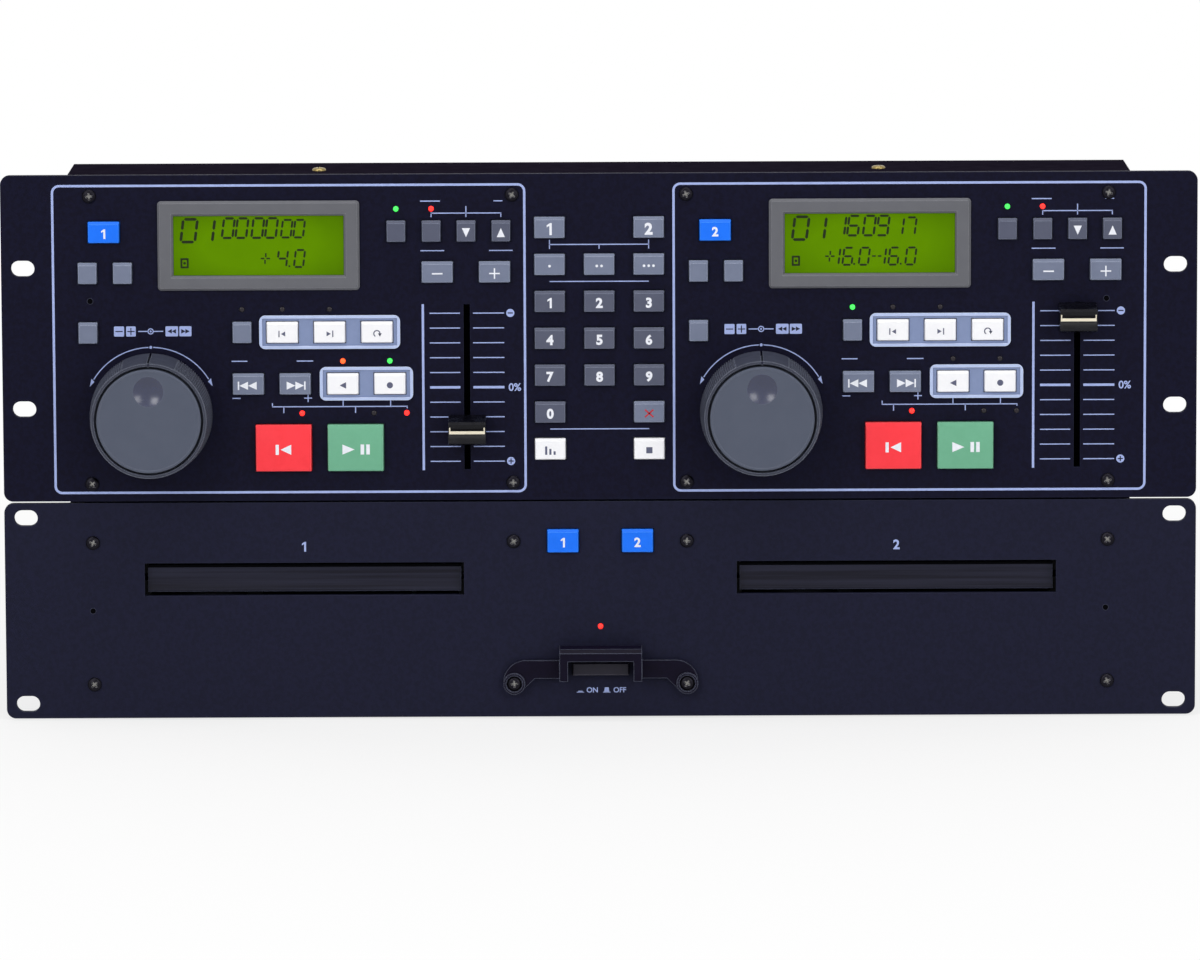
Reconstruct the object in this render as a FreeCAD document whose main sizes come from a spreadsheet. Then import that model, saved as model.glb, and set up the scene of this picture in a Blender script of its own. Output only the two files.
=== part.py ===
# Dual disc player for a rack: a two-unit player with two loading trays, and the three-unit
# control panel that stands on it.  Millimetres.  X runs to the right along the front panels,
# Y to the back, Z up; the origin is under the middle of the whole unit, on the table.
import FreeCAD, Part
import math
import os
import Sketcher
from FreeCAD import Vector

doc = FreeCAD.newDocument("dual_disc_player")
sheet = doc.addObject("Spreadsheet::Sheet", "dims")

# ---------------------------------------------------------------------------------------------
# Driving dimensions.  Heights on the control unit are above its panel's lower edge, heights on
# the player above its own panel's lower edge, and deck columns are from the deck's centre line.
# ---------------------------------------------------------------------------------------------
SIZES = {
    # 19 inch rack panels
    "panel_width": 482.6,
    "panel_thickness": 3.0,
    "panel_corner": 3.8,
    "control_height": 132.5,
    "player_height": 88.1,
    "unit_gap": 0.8,
    "panel_lift": 0.5,
    "rack_span": 465.1,
    "rack_slot_length": 9.5,
    "rack_slot_width": 6.5,
    "control_hole_low": 37.65,
    "control_hole_pitch": 57.15,
    "player_hole_low": 5.95,
    "player_hole_pitch": 76.2,
    # housings
    "case_width": 431.0,
    "case_depth": 65.0,
    "case_inset": 1.9,
    "chassis_depth": 250.0,
    "chassis_inset": 1.7,
    "sheet_steel": 1.2,
    "window_margin": 1.5,
    "fold": 8.8,
    "foot_radius": 6.0,
    "foot_margin": 22.0,
    "vent_height": 60.0,
    "vent_width": 3.0,
    "vent_pitch": 7.0,
    "vent_start": 14.0,
    "chassis_vent_height": 40.0,
    "chassis_vent_pitch": 10.0,
    "rear_share": 0.55,
    "cover_slot_width": 3.5,
    "cover_slot_pitch": 9.0,
    "cover_screw_front": 50.0,
    "cover_screw_back": 212.5,
    "cover_skirt": 40.0,
    "cover_slot_length": 60.0,
    "cover_screw_row": 55.0,
    "lid_screw_x": 113.8,
    # screws
    "screw_shank": 1.5,
    "screw_hole": 1.8,
    "screw_head": 2.8,
    "screw_head_height": 1.3,
    "screw_length": 7.0,
    "through": 5.0,
    "screw_column": 205.5,
    "screw_inner_column": 35.1,
    "control_screw_low": 7.1,
    "control_screw_high": 124.1,
    "player_screw_low": 13.9,
    "player_screw_high": 71.9,
    # keys
    "key_gap": 0.3,
    "key_play": 0.1,
    "key_travel": 1.0,
    "key_reach": 2.2,
    "key_bevel": 0.45,
    "key_lip": 0.9,
    "key_flange": 1.2,
    "key_stem": 3.0,
    "dial_bore_gap": 0.4,
    "fader_end_room": 3.5,
    "fader_lever_height": 4.0,
    "fader_slider_length": 7.0,
    "fader_crest": 1.5,
    "wide_key": 13.3,
    "narrow_key": 8.3,
    "key_height": 9.2,
    "cue_width": 23.2,
    "cue_height": 19.5,
    "cue_reach": 3.2,
    # key columns and rows of a deck
    "deck_pitch": 246.5,
    "open_x": -76.45,
    "mode_x": -83.2,
    "cont_x": -69.05,
    "loop_x": -21.05,
    "pitch_x": 41.4,
    "tone_x": 55.6,
    "tone_pitch": 14.05,
    "bend_x": 57.95,
    "bend_pitch": 23.1,
    "marker_x": -4.75,
    "marker_pitch": 19.1,
    "track_x": -18.65,
    "track_pitch": 18.9,
    "sampler_x": 19.55,
    "sampler_pitch": 19.0,
    "cue_x": -4.55,
    "cue_pitch": 29.1,
    "top_row": 109.5,
    "bend_row": 92.9,
    "marker_row": 68.7,
    "track_row": 47.7,
    "cue_row": 21.7,
    # centre column of keys
    "centre_pitch": 20.0,
    "centre_row_pitch": 15.0,
    "centre_row": 110.8,
    "centre_key": 13.0,
    # key surrounds
    "surround_margin": 2.7,
    "surround_height": 13.6,
    "surround_reach": 1.1,
    "surround_corner": 2.5,
    "surround_rim": 1.2,
    # display
    "display_x": -14.05,
    "display_row": 103.9,
    "display_width": 81.4,
    "display_height": 36.2,
    "display_reach": 1.8,
    "display_corner": 1.5,
    "display_bevel": 0.9,
    "glass_set": 0.9,
    "module_margin": 3.0,
    "glass_width": 68.8,
    "glass_height": 24.2,
    # lamps
    "lamp_radius": 1.0,
    "lamp_gap": 0.15,
    "lamp_reach": 0.45,
    "pitch_lamp_row": 118.45,
    "marker_lamp_row": 77.9,
    "sampler_lamp_row": 56.8,
    "cue_lamp_row": 35.6,
    "cue_lamp_shift": 7.5,
    "play_lamp_shift": 42.3,
    # jog dial and shuttle ring
    "dial_x": -57.95,
    "dial_row": 35.5,
    "dial_radius": 21.0,
    "dial_reach": 24.0,
    "dial_thickness": 5.0,
    "dimple_radius": 6.1,
    "dimple_offset": 12.0,
    "dimple_depth": 1.6,
    "ring_radius": 24.8,
    "ring_bore": 21.9,
    "ring_reach": 22.6,
    "ring_bevel": 2.0,
    "ring_lift": 0.6,
    "ring_web": 2.5,
    "ring_wall": 2.6,
    "notch_width": 2.4,
    "sleeve_radius": 5.0,
    "dial_shaft": 3.0,
    "fit": 0.05,
    # pitch fader
    "fader_x": 69.7,
    "fader_row": 46.1,
    "fader_travel": 60.3,
    "fader_slot": 2.6,
    "fader_lever": 1.4,
    "fader_cap_width": 15.2,
    "fader_cap_height": 12.0,
    "fader_cap_reach": 13.0,
    "fader_cap_lift": 0.6,
    "fader_saddle": 2.2,
    "fader_1_rest": -17.3,
    "fader_2_rest": 27.5,
    "track_width": 9.0,
    "track_depth": 8.0,
    "track_wall": 0.9,
    # boards
    "board_gap": 11.0,
    "board_thickness": 1.6,
    "board_margin": 9.0,
    "switch_size": 6.0,
    "encoder_size": 26.0,
    "encoder_depth": 8.0,
    "front_board_gap": 11.0,
    "post_radius": 2.8,
    "post_span": 366.0,
    "post_inner_span": 144.0,
    # loaders, measured from each tray's centre line and from the tray's mid height
    "loader_pitch": 240.0,
    "tray_row": 56.75,
    "tray_slot_width": 129.5,
    "tray_slot_height": 13.4,
    "tray_front_gap": 1.25,
    "tray_front_depth": 3.5,
    "tray_hollow": 0.7,
    "tray_band": 1.0,
    "tray_setback": 3.5,
    "tray_half_width": 62.2,
    "tray_under": 2.5,
    "tray_over": 2.5,
    "tray_tongue": 2.2,
    "tray_tongue_thickness": 2.0,
    "tray_travel": 138.0,
    "disc_radius": 60.7,
    "disc_depth": 2.0,
    "small_disc_radius": 40.7,
    "small_disc_depth": 1.0,
    "disc_distance": 75.0,
    "tray_opening": 18.0,
    "slide_gap": 0.4,
    "rail_width": 4.6,
    "rail_height": 30.0,
    "loader_under": 22.0,
    "loader_floor": 2.5,
    "loader_front": 8.0,
    "loader_length": 160.0,
    "leg_radius": 4.0,
    "leg_margin": 12.0,
    "window_gap": 1.5,
    "window_front": 4.0,
    "window_back": 6.0,
    "ear_gap": 2.0,
    "ear_thickness": 3.0,
    "ear_length": 10.0,
    "shoulder": 2.0,
    "gear_module": 1.0,
    "gear_teeth": 24,
    "gear_width": 3.0,
    "gear_backlash": 0.16,
    "gear_y": 21.5,
    "gear_post": 2.5,
    "gear_wheel_radius": 14.0,
    "gear_wheel_drop": 2.0,
    "wheel_gap": 0.6,
    "loading_motor_gap": 12.0,
    "worm_gap": 0.3,
    "loading_motor_radius": 4.4,
    "loading_motor_length": 13.0,
    "worm_radius": 3.0,
    "rack_x": -50.0,
    "rack_depth": 3.4,
    "rack_back": 4.0,
    "rack_front": 5.0,
    "rack_spare": 5.5,
    # traverse with the spindle and the pickup
    "traverse_half_width": 42.0,
    "traverse_front": 54.0,
    "traverse_pivot": 152.0,
    "traverse_under": 16.0,
    "traverse_thickness": 3.0,
    "pivot_radius": 2.0,
    "turntable_radius": 14.5,
    "turntable_thickness": 2.5,
    "turntable_lift": 1.7,
    "spindle_nose": 7.4,
    "spindle_shaft": 1.0,
    "hub_radius": 4.0,
    "hub_depth": 4.0,
    "nose_height": 2.5,
    "motor_radius": 12.0,
    "motor_height": 13.0,
    "motor_boss": 5.0,
    "sled_motor_x": -32.0,
    "sled_motor_radius": 4.5,
    "sled_motor_length": 20.0,
    "lens_radius": 2.5,
    "puck_radius": 15.0,
    "puck_neck": 8.0,
    "bridge_depth": 44.0,
    "rod_radius": 1.5,
    "rod_spread": 16.0,
    "rod_under": 8.5,
    "pickup_width": 40.0,
    "pickup_length": 20.0,
    "pickup_start": 24.0,
    "pickup_travel": 34.0,
    "pickup_wall": 1.8,
    # power switch and its guard
    "power_row": 19.8,
    "power_width": 22.8,
    "power_height": 5.0,
    "power_reach": 4.0,
    "power_travel": 2.5,
    "power_lip": 2.5,
    "power_flange": 1.5,
    "power_plunger": 5.0,
    "guard_half_width": 16.7,
    "guard_top": 29.0,
    "guard_bottom": 15.9,
    "guard_reach": 11.0,
    "guard_arm": 2.6,
    "guard_wall": 3.4,
    "guard_boss": 4.5,
    "guard_arm_top": 23.4,
    "guard_shoulder": 9.0,
    "guard_hood": 5.0,
    "guard_bevel": 1.6,
    "player_key_x": 15.1,
    "player_key_row": 72.1,
    "player_key_height": 10.0,
    "power_lamp_row": 36.9,
    # rear
    "jack_reach": 9.0,
    "jack_radius": 4.1,
    "jack_pitch": 14.0,
    "din_radius": 6.5,
    "din_spread": 60.0,
    "din_row": 24.0,
    "inlet_width": 27.0,
    "inlet_height": 19.8,
    "inlet_depth": 16.0,
    "inlet_x": -170.0,
    "jack_bore": 1.7,
    "jack_root": 6.0,
    "jack_collar": 1.8,
    "din_root": 10.0,
    "din_reach": 2.5,
    "din_depth": 6.0,
    "din_wall": 1.5,
    "din_pin": 1.2,
    "inlet_flange": 2.5,
    "inlet_wall": 1.5,
    "inlet_corner": 5.0,
    "inlet_ear": 8.0,
    "inlet_brow": 4.5,
    "blade_pitch": 7.0,
    "blade_thickness": 2.0,
    "blade_height": 4.0,
    "blade_lift": 1.5,
    "blade_drop": 2.5,
    "blade_set": 3.0,
    # power supply and boards in the player
    "core_width": 57.0,
    "core_depth": 30.0,
    "core_height": 46.0,
    "coil_reach": 8.0,
    "pillar_height": 4.0,
    "board_width": 100.0,
    "board_length": 62.0,
    "inlet_row": 24.0,
    "jack_spread": 110.0,
    "jack_row": 24.0,
}

for row, (alias, size) in enumerate(SIZES.items(), start=1):
    sheet.set("A%d" % row, alias)
    sheet.set("B%d" % row, str(size))
    sheet.setAlias("B%d" % row, alias)
doc.recompute()

# Places that several pieces share, worked out from the driving dimensions.
FRONT_Y = "((dims.dial_reach - dims.panel_thickness - dims.chassis_depth - dims.jack_reach) / 2)"
CONTROL_Z = "(dims.panel_lift + dims.player_height + dims.unit_gap)"
PLAYER_Z = "dims.panel_lift"
DECK_X = {1: "(-dims.deck_pitch / 2)", 2: "(dims.deck_pitch / 2)"}
LOADER_X = {1: "(-dims.loader_pitch / 2)", 2: "(dims.loader_pitch / 2)"}
BOARD_Y = "(dims.panel_thickness + dims.board_gap)"
DISC_Y = "dims.disc_distance"
TRAY_TOP = "(dims.tray_row + dims.tray_over)"
TRAY_BOTTOM = "(dims.tray_row - dims.tray_under)"

made = []


def value(expression):
    found = sheet.evalExpression(expression)
    return float(getattr(found, "Value", found))


def bind(thing, **sizes):
    for name, expression in sizes.items():
        thing.setExpression(name, expression)


def new_body(name):
    body = doc.addObject("PartDesign::Body", name)
    body.Label = name
    made.append(body)
    return body


def place(thing, x="0", y="0", z="0"):
    thing.setExpression("Placement.Base.x", x)
    thing.setExpression("Placement.Base.y", FRONT_Y + " + " + y)
    thing.setExpression("Placement.Base.z", z)


def origin_part(body, role):
    return next(part for part in body.Origin.OriginFeatures if part.Role == role)


# A sketch on one of the body's own planes.  On XZ_Plane the sketch looks from the front and
# "level" is how far behind the front face it lies; on the others it is along the plane's normal.
def sketch_on(body, name, level="0", role="XZ_Plane"):
    sketch = body.newObject("Sketcher::SketchObject", body.Name + "_" + name)
    sketch.AttachmentSupport = [(origin_part(body, role), "")]
    sketch.MapMode = "FlatFace"
    sign = "-1" if role == "XZ_Plane" else "1"
    sketch.setExpression("AttachmentOffset.Base.z", sign + " * (" + level + ")")
    return sketch


# A closed outline of straight lines whose corners are tied to pairs of expressions.
def draw_outline(sketch, corners):
    first = sketch.GeometryCount
    count = len(corners)
    spots = [Vector(value(x), value(z), 0) for x, z in corners]
    lines = [Part.LineSegment(spots[i], spots[(i + 1) % count]) for i in range(count)]
    sketch.addGeometry(lines)
    joints = [Sketcher.Constraint("Coincident", first + i, 2, first + (i + 1) % count, 1)
              for i in range(count)]
    sketch.addConstraint(joints)
    for i, (x, z) in enumerate(corners):
        across = sketch.addConstraint(Sketcher.Constraint("DistanceX", -1, 1, first + i, 1, spots[i].x))
        upward = sketch.addConstraint(Sketcher.Constraint("DistanceY", -1, 1, first + i, 1, spots[i].y))
        sketch.setExpression("Constraints[%d]" % across, x)
        sketch.setExpression("Constraints[%d]" % upward, z)


def draw_box(sketch, left, right, low, high):
    draw_outline(sketch, [(left, low), (right, low), (right, high), (left, high)])


def draw_rect(sketch, x, z, width, height):
    draw_box(sketch, f"{x} - ({width}) / 2", f"{x} + ({width}) / 2",
             f"{z} - ({height}) / 2", f"{z} + ({height}) / 2")


def draw_circle(sketch, x, z, radius):
    centre = Vector(value(x), value(z), 0)
    circle = sketch.addGeometry(Part.Circle(centre, Vector(0, 0, 1), value(radius)))
    across = sketch.addConstraint(Sketcher.Constraint("DistanceX", -1, 1, circle, 3, centre.x))
    upward = sketch.addConstraint(Sketcher.Constraint("DistanceY", -1, 1, circle, 3, centre.y))
    size = sketch.addConstraint(Sketcher.Constraint("Radius", circle, value(radius)))
    sketch.setExpression("Constraints[%d]" % across, x)
    sketch.setExpression("Constraints[%d]" % upward, z)
    sketch.setExpression("Constraints[%d]" % size, radius)


# A level slot with round ends: two half circles joined by two lines.
def draw_slot(sketch, x, z, length, width):
    middle = Vector(value(x), value(z), 0)
    radius = value(width) / 2
    reach = value(length) / 2 - radius
    up = Vector(0, 0, 1)
    right_end = Part.Circle(middle + Vector(reach, 0, 0), up, radius)
    left_end = Part.Circle(middle - Vector(reach, 0, 0), up, radius)
    first = sketch.GeometryCount
    sketch.addGeometry([
        Part.ArcOfCircle(right_end, -math.pi / 2, math.pi / 2),
        Part.LineSegment(middle + Vector(reach, radius, 0), middle + Vector(-reach, radius, 0)),
        Part.ArcOfCircle(left_end, math.pi / 2, 3 * math.pi / 2),
        Part.LineSegment(middle + Vector(-reach, -radius, 0), middle + Vector(reach, -radius, 0))])
    right, top, left, bottom = range(first, first + 4)
    rule = Sketcher.Constraint
    sketch.addConstraint([rule("Tangent", right, 2, top, 1), rule("Tangent", top, 2, left, 1),
                          rule("Tangent", left, 2, bottom, 1), rule("Tangent", bottom, 2, right, 1),
                          rule("Horizontal", top), rule("Equal", right, left)])
    ties = [(rule("DistanceX", -1, 1, right, 3, middle.x + reach), f"{x} + ({length} - {width}) / 2"),
            (rule("DistanceY", -1, 1, right, 3, middle.y), z),
            (rule("DistanceX", left, 3, right, 3, 2 * reach), f"{length} - {width}"),
            (rule("Radius", right, radius), f"{width} / 2")]
    for tie, expression in ties:
        number = sketch.addConstraint(tie)
        sketch.setExpression("Constraints[%d]" % number, expression)


def feature_of(sketch, kind, name):
    body = sketch.getParentGeoFeatureGroup()
    feature = body.newObject(kind, sketch.Name + name)
    feature.Profile = sketch
    feature.Refine = False
    return feature


# Adds material behind the sketch, or in front of it (above it, for a level sketch).
def pad(sketch, length, forward=False):
    feature = feature_of(sketch, "PartDesign::Pad", "_pad")
    feature.Reversed = not forward
    bind(feature, Length=length)
    return feature


# Cuts right through, or to a depth: behind the sketch (below a level one) unless forward.
def cut(sketch, depth=None, forward=False):
    feature = feature_of(sketch, "PartDesign::Pocket", "_cut")
    if depth is None:
        feature.Type = "ThroughAll"
        feature.Midplane = True
    else:
        feature.Reversed = forward
        bind(feature, Length=depth)
    return feature


def turn(sketch, axis="H_Axis"):
    feature = feature_of(sketch, "PartDesign::Revolution", "_turn")
    feature.ReferenceAxis = (sketch, [axis])
    feature.Angle = 360
    return feature


def repeat(features, axis, pitch, copies, name):
    body = features[0].getParentGeoFeatureGroup()
    pattern = body.newObject("PartDesign::LinearPattern", body.Name + "_" + name)
    pattern.Originals = features
    pattern.Refine = False
    pattern.Direction = (origin_part(body, axis), [""])
    bind(pattern, Length=f"({pitch}) * ({copies} - 1)", Occurrences=str(copies))
    body.Tip = pattern
    return pattern


# The base feature's edges that pass a test, by name.
def edges_of(feature, test):
    doc.recompute()
    edges = feature.Shape.Edges
    return [f"Edge{i + 1}" for i, edge in enumerate(edges) if test(edge)]


def soften(feature, kind, size, test):
    body = feature.getParentGeoFeatureGroup()
    names = edges_of(feature, test)
    dressed = body.newObject("PartDesign::" + kind, feature.Name + "_" + kind.lower())
    dressed.Base = (feature, names)
    bind(dressed, **{"Radius" if kind == "Fillet" else "Size": size})
    return dressed


def runs_along(edge, axis):
    box = edge.BoundBox
    lengths = {"x": box.XLength, "y": box.YLength, "z": box.ZLength}
    return lengths.pop(axis) > 0.01 and max(lengths.values()) < 0.001


def lies_at(edge, axis, place_of):
    box = edge.BoundBox
    low, high = {"x": (box.XMin, box.XMax), "y": (box.YMin, box.YMax), "z": (box.ZMin, box.ZMax)}[axis]
    return abs(low - place_of) < 0.01 and abs(high - place_of) < 0.01


# ---------------------------------------------------------------------------------------------
# Keys.  A deck's keys are moulded in groups: each key is a cap through the panel, a lip that
# stops it behind the panel, and a stem that reaches the switch.
# ---------------------------------------------------------------------------------------------
WIDE = ("dims.wide_key", "dims.key_height")
NARROW = ("dims.narrow_key", "dims.key_height")
CENTRE = ("dims.centre_key", "dims.key_height")
DECK_KEYS = {
    "mode_keys": (NARROW, [("dims.mode_x", "dims.bend_row"), ("dims.cont_x", "dims.bend_row"),
                           ("dims.mode_x", "dims.marker_row"), ("dims.loop_x", "dims.marker_row")]),
    "pitch_keys": (NARROW, [("dims.pitch_x", "dims.top_row")]
                   + [(f"(dims.tone_x + {i} * dims.tone_pitch)", "dims.top_row") for i in range(3)]),
    "bend_keys": (WIDE, [(f"(dims.bend_x + {i} * dims.bend_pitch)", "dims.bend_row") for i in range(2)]),
    "track_keys": (WIDE, [(f"(dims.track_x + {i} * dims.track_pitch)", "dims.track_row")
                          for i in range(2)]),
    "loop_keys": (WIDE, [(f"(dims.marker_x + {i} * dims.marker_pitch)", "dims.marker_row")
                         for i in range(3)]),
    "sampler_keys": (WIDE, [(f"(dims.sampler_x + {i} * dims.sampler_pitch)", "dims.track_row")
                            for i in range(2)]),
    "cue_key": (("dims.cue_width", "dims.cue_height"), [("dims.cue_x", "dims.cue_row")]),
    "play_key": (("dims.cue_width", "dims.cue_height"),
                 [("(dims.cue_x + dims.cue_pitch)", "dims.cue_row")]),
}
OPEN_KEY = ("dims.open_x", "dims.top_row")
CENTRE_ROWS = [f"(dims.centre_row - {i} * dims.centre_row_pitch)" for i in range(7)]
FUNCTION_KEYS = [(f"({side} * dims.centre_pitch)", CENTRE_ROWS[row])
                 for side, row in [(-1, 0), (1, 0), (-1, 1), (0, 1), (1, 1), (1, 5), (-1, 6), (1, 6)]]
NUMBER_KEYS = [(f"({side} * dims.centre_pitch)", CENTRE_ROWS[row])
               for row in (2, 3, 4) for side in (-1, 0, 1)] + [("(-1 * dims.centre_pitch)", CENTRE_ROWS[5])]
PLAYER_KEYS = [("(-1 * dims.player_key_x)", "dims.player_key_row"),
               ("dims.player_key_x", "dims.player_key_row")]


def sketch_rects(body, name, level, spots, width, height):
    sketch = sketch_on(body, name, level)
    for x, z in spots:
        draw_rect(sketch, x, z, width, height)
    return sketch


def in_fours(spots):
    return [spots[i:i + 4] for i in range(0, len(spots), 4)]


# Keys of one size at a list of spots, as separate solids of one body.
def key_group(name, size, spots, reach="dims.key_reach"):
    width, height = size
    body = new_body(name)
    lip_y = "(dims.panel_thickness + dims.key_play)"
    stem_y = f"({lip_y} + dims.key_flange)"
    stem = "(dims.board_gap - dims.switch_size / 2 - dims.key_play - dims.key_flange" \
           " - dims.key_travel - dims.key_play)"
    for i, few in enumerate(in_fours(spots)):
        outline = sketch_rects(body, f"caps_{i}", f"-1 * {reach}", few,
                               f"{width} - 2 * dims.key_gap", f"{height} - 2 * dims.key_gap")
        pad(outline, f"{reach} + {lip_y}")
        lips = sketch_rects(body, f"lips_{i}", lip_y, few,
                            f"{width} + 2 * dims.key_lip", f"{height} + 2 * dims.key_lip")
        pad(lips, "dims.key_flange")
        stems = sketch_rects(body, f"stems_{i}", stem_y, few, "dims.key_stem", "dims.key_stem")
        last = pad(stems, stem)
    front = -value(reach)
    soften(last, "Chamfer", "dims.key_bevel", lambda edge: lies_at(edge, "y", front))
    return body


# ---------------------------------------------------------------------------------------------
# Control unit: panel
# ---------------------------------------------------------------------------------------------
def make_plate(body, height):
    outline = sketch_on(body, "outline")
    draw_rect(outline, "0", f"{height} / 2", "dims.panel_width", height)
    plate = pad(outline, "dims.panel_thickness")
    return soften(plate, "Fillet", "dims.panel_corner", lambda edge: runs_along(edge, "y"))


def cut_rack_slots(body, low, hole_pitch):
    slots = sketch_on(body, "rack_slots")
    for side in (-1, 1):
        for row in (0, 1):
            draw_slot(slots, f"{side} * dims.rack_span / 2", f"{low} + {row} * {hole_pitch}",
                      "dims.rack_slot_length", "dims.rack_slot_width")
    cut(slots)


CONTROL_SCREWS = [(f"({side} * {column})", row)
                  for row in ("dims.control_screw_low", "dims.control_screw_high")
                  for side in (-1, 1) for column in ("dims.screw_column", "dims.screw_inner_column")]
PLAYER_SCREWS = [(f"({side} * {column})", row)
                 for row in ("dims.player_screw_low", "dims.player_screw_high")
                 for side in (-1, 1) for column in ("dims.screw_column", "dims.screw_inner_column")]
DECK_LAMPS = [("dims.pitch_x", "dims.pitch_lamp_row"), ("dims.tone_x", "dims.pitch_lamp_row"),
              ("dims.loop_x", "dims.marker_lamp_row"), ("dims.marker_x", "dims.marker_lamp_row"),
              ("(dims.marker_x + dims.marker_pitch)", "dims.marker_lamp_row"),
              ("dims.sampler_x", "dims.sampler_lamp_row"),
              ("(dims.sampler_x + dims.sampler_pitch)", "dims.sampler_lamp_row"),
              ("(dims.cue_x + dims.cue_lamp_shift)", "dims.cue_lamp_row"),
              ("(dims.cue_x + dims.cue_pitch + dims.cue_lamp_shift)", "dims.cue_lamp_row"),
              ("(dims.cue_x + dims.play_lamp_shift + dims.cue_lamp_shift)", "dims.cue_lamp_row")]


def on_deck(x, deck=1):
    return f"({DECK_X[deck]} + {x})"


# A plain block or rod whose size and place are expressions; rods lie along Y unless upright.
def block(name, x, y, z, width, depth, height):
    box = doc.addObject("Part::Box", name)
    bind(box, Length=width, Width=depth, Height=height)
    bind(box, **{"Placement.Base.x": f"{x} - ({width}) / 2", "Placement.Base.y": y,
                 "Placement.Base.z": f"{z} - ({height}) / 2"})
    return box


def rod(name, x, y, z, radius, length, axis="y"):
    bar = doc.addObject("Part::Cylinder", name)
    turns = {"y": (Vector(1, 0, 0), -90), "x": (Vector(0, 1, 0), 90), "z": (Vector(0, 0, 1), 0)}
    bar.Placement.Rotation = FreeCAD.Rotation(*turns[axis])
    bind(bar, Radius=radius, Height=length)
    bind(bar, **{"Placement.Base.x": x, "Placement.Base.y": y, "Placement.Base.z": z})
    return bar


# A pin of flat sides: fewer faces than a rod for the many small pieces of the same kind.
def peg(name, x, y, z, radius, length, axis="y", sides=8):
    pin = doc.addObject("Part::Prism", name)
    turns = {"y": (Vector(1, 0, 0), -90), "x": (Vector(0, 1, 0), 90), "z": (Vector(0, 0, 1), 0)}
    pin.Placement.Rotation = FreeCAD.Rotation(*turns[axis])
    pin.Polygon = sides
    bind(pin, Circumradius=radius, Height=length)
    bind(pin, **{"Placement.Base.x": x, "Placement.Base.y": y, "Placement.Base.z": z})
    return pin


# The tool for a small hole: its flats lie at the radius.
def peg_hole(name, x, y, z, radius, length, axis="y", sides=8):
    return peg(name, x, y, z, f"({radius}) / cos(180 / {sides})", length, axis, sides)


def group_of(name, pieces):
    group = doc.addObject("Part::Compound", name)
    group.Links = pieces
    return group


def joined(name, pieces):
    fusion = doc.addObject("Part::MultiFuse", name)
    fusion.Shapes = pieces
    return fusion


def without(name, base, tools):
    result = doc.addObject("Part::Cut", name)
    result.Base = base
    result.Tool = group_of(name + "_tools", tools)
    return result


# Gives the finished object its node's name and notes it for writing.
def sub_part(thing, label):
    thing.Label = label
    made.append(thing)
    return thing


PANEL_THROUGH = "dims.panel_thickness + 2 * dims.through"


# The tools that punch holes through a panel, from a little in front of it to a little behind.
def punches(name, spots, size, shift="0"):
    width, height = size
    return [block(f"{name}_{i}", f"({shift} + {x})", "-1 * dims.through", z, width, PANEL_THROUGH, height)
            for i, (x, z) in enumerate(spots)]


def drills(name, spots, radius, shift="0", sides=8):
    return [peg_hole(f"{name}_{i}", f"({shift} + {x})", "-1 * dims.through", z, radius, PANEL_THROUGH,
                     sides=sides) for i, (x, z) in enumerate(spots)]


FADER_SLOT_LENGTH = "(dims.fader_travel + 2 * dims.fader_end_room)"


def make_control_panel():
    body = doc.addObject("PartDesign::Body", "control_blank")
    make_plate(body, "dims.control_height")
    cut_rack_slots(body, "dims.control_hole_low", "dims.control_hole_pitch")
    tools = drills("control_screw_hole", CONTROL_SCREWS, "dims.screw_hole")
    tools += punches("function_hole", FUNCTION_KEYS, CENTRE)
    tools += punches("number_hole", NUMBER_KEYS, CENTRE)
    for deck, shift in DECK_X.items():
        for name, (size, spots) in DECK_KEYS.items():
            tools += punches(f"{name}_hole_{deck}", spots, size, shift)
        tools += punches(f"open_hole_{deck}", [OPEN_KEY], WIDE, shift)
        tools += punches(f"glass_hole_{deck}", [("dims.display_x", "dims.display_row")],
                         ("dims.glass_width", "dims.glass_height"), shift)
        tools += punches(f"fader_hole_{deck}", [("dims.fader_x", "dims.fader_row")],
                         ("dims.fader_slot", FADER_SLOT_LENGTH), shift)
        tools += drills(f"lamp_hole_{deck}", DECK_LAMPS, "dims.lamp_radius + dims.lamp_gap", shift)
        tools += drills(f"dial_hole_{deck}", [("dims.dial_x", "dims.dial_row")],
                        "dims.sleeve_radius + dims.dial_bore_gap", shift, 16)
    punched = without("control_punched", body, tools)
    # hexagonal press-in posts that carry the circuit board
    posts = [peg(f"board_post_{i}", x, "dims.panel_thickness", row, "dims.post_radius", "dims.board_gap",
                 sides=6) for i, (x, row) in enumerate(BOARD_POSTS)]
    panel = sub_part(joined("control_panel", [punched] + posts), "control_panel")
    place(panel, z=CONTROL_Z)


BOARD_POSTS = [(f"({side} * dims.post_span / 2)", row) for side in (-1, 1)
               for row in ("dims.board_margin", "(dims.control_height - dims.board_margin)")]
BOARD_POSTS += [(f"({side} * dims.post_inner_span / 2)", row) for side in (-1, 1)
                for row in ("dims.board_margin", "(dims.control_height - dims.board_margin)")]


make_control_panel()
for deck in (1, 2):
    for name, (size, spots) in DECK_KEYS.items():
        large = name in ("cue_key", "play_key")
        keys = key_group(f"{name}_{deck}", size, spots, "dims.cue_reach" if large else "dims.key_reach")
        place(keys, x=DECK_X[deck], z=CONTROL_Z)
both_open_keys = [(on_deck(OPEN_KEY[0], deck), OPEN_KEY[1]) for deck in (1, 2)]
place(key_group("open_keys", WIDE, both_open_keys), z=CONTROL_Z)
place(key_group("number_keys", CENTRE, NUMBER_KEYS), z=CONTROL_Z)
place(key_group("function_keys", CENTRE, FUNCTION_KEYS), z=CONTROL_Z)
place(key_group("player_open_keys", ("dims.wide_key", "dims.player_key_height"), PLAYER_KEYS),
      z=PLAYER_Z)


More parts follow.
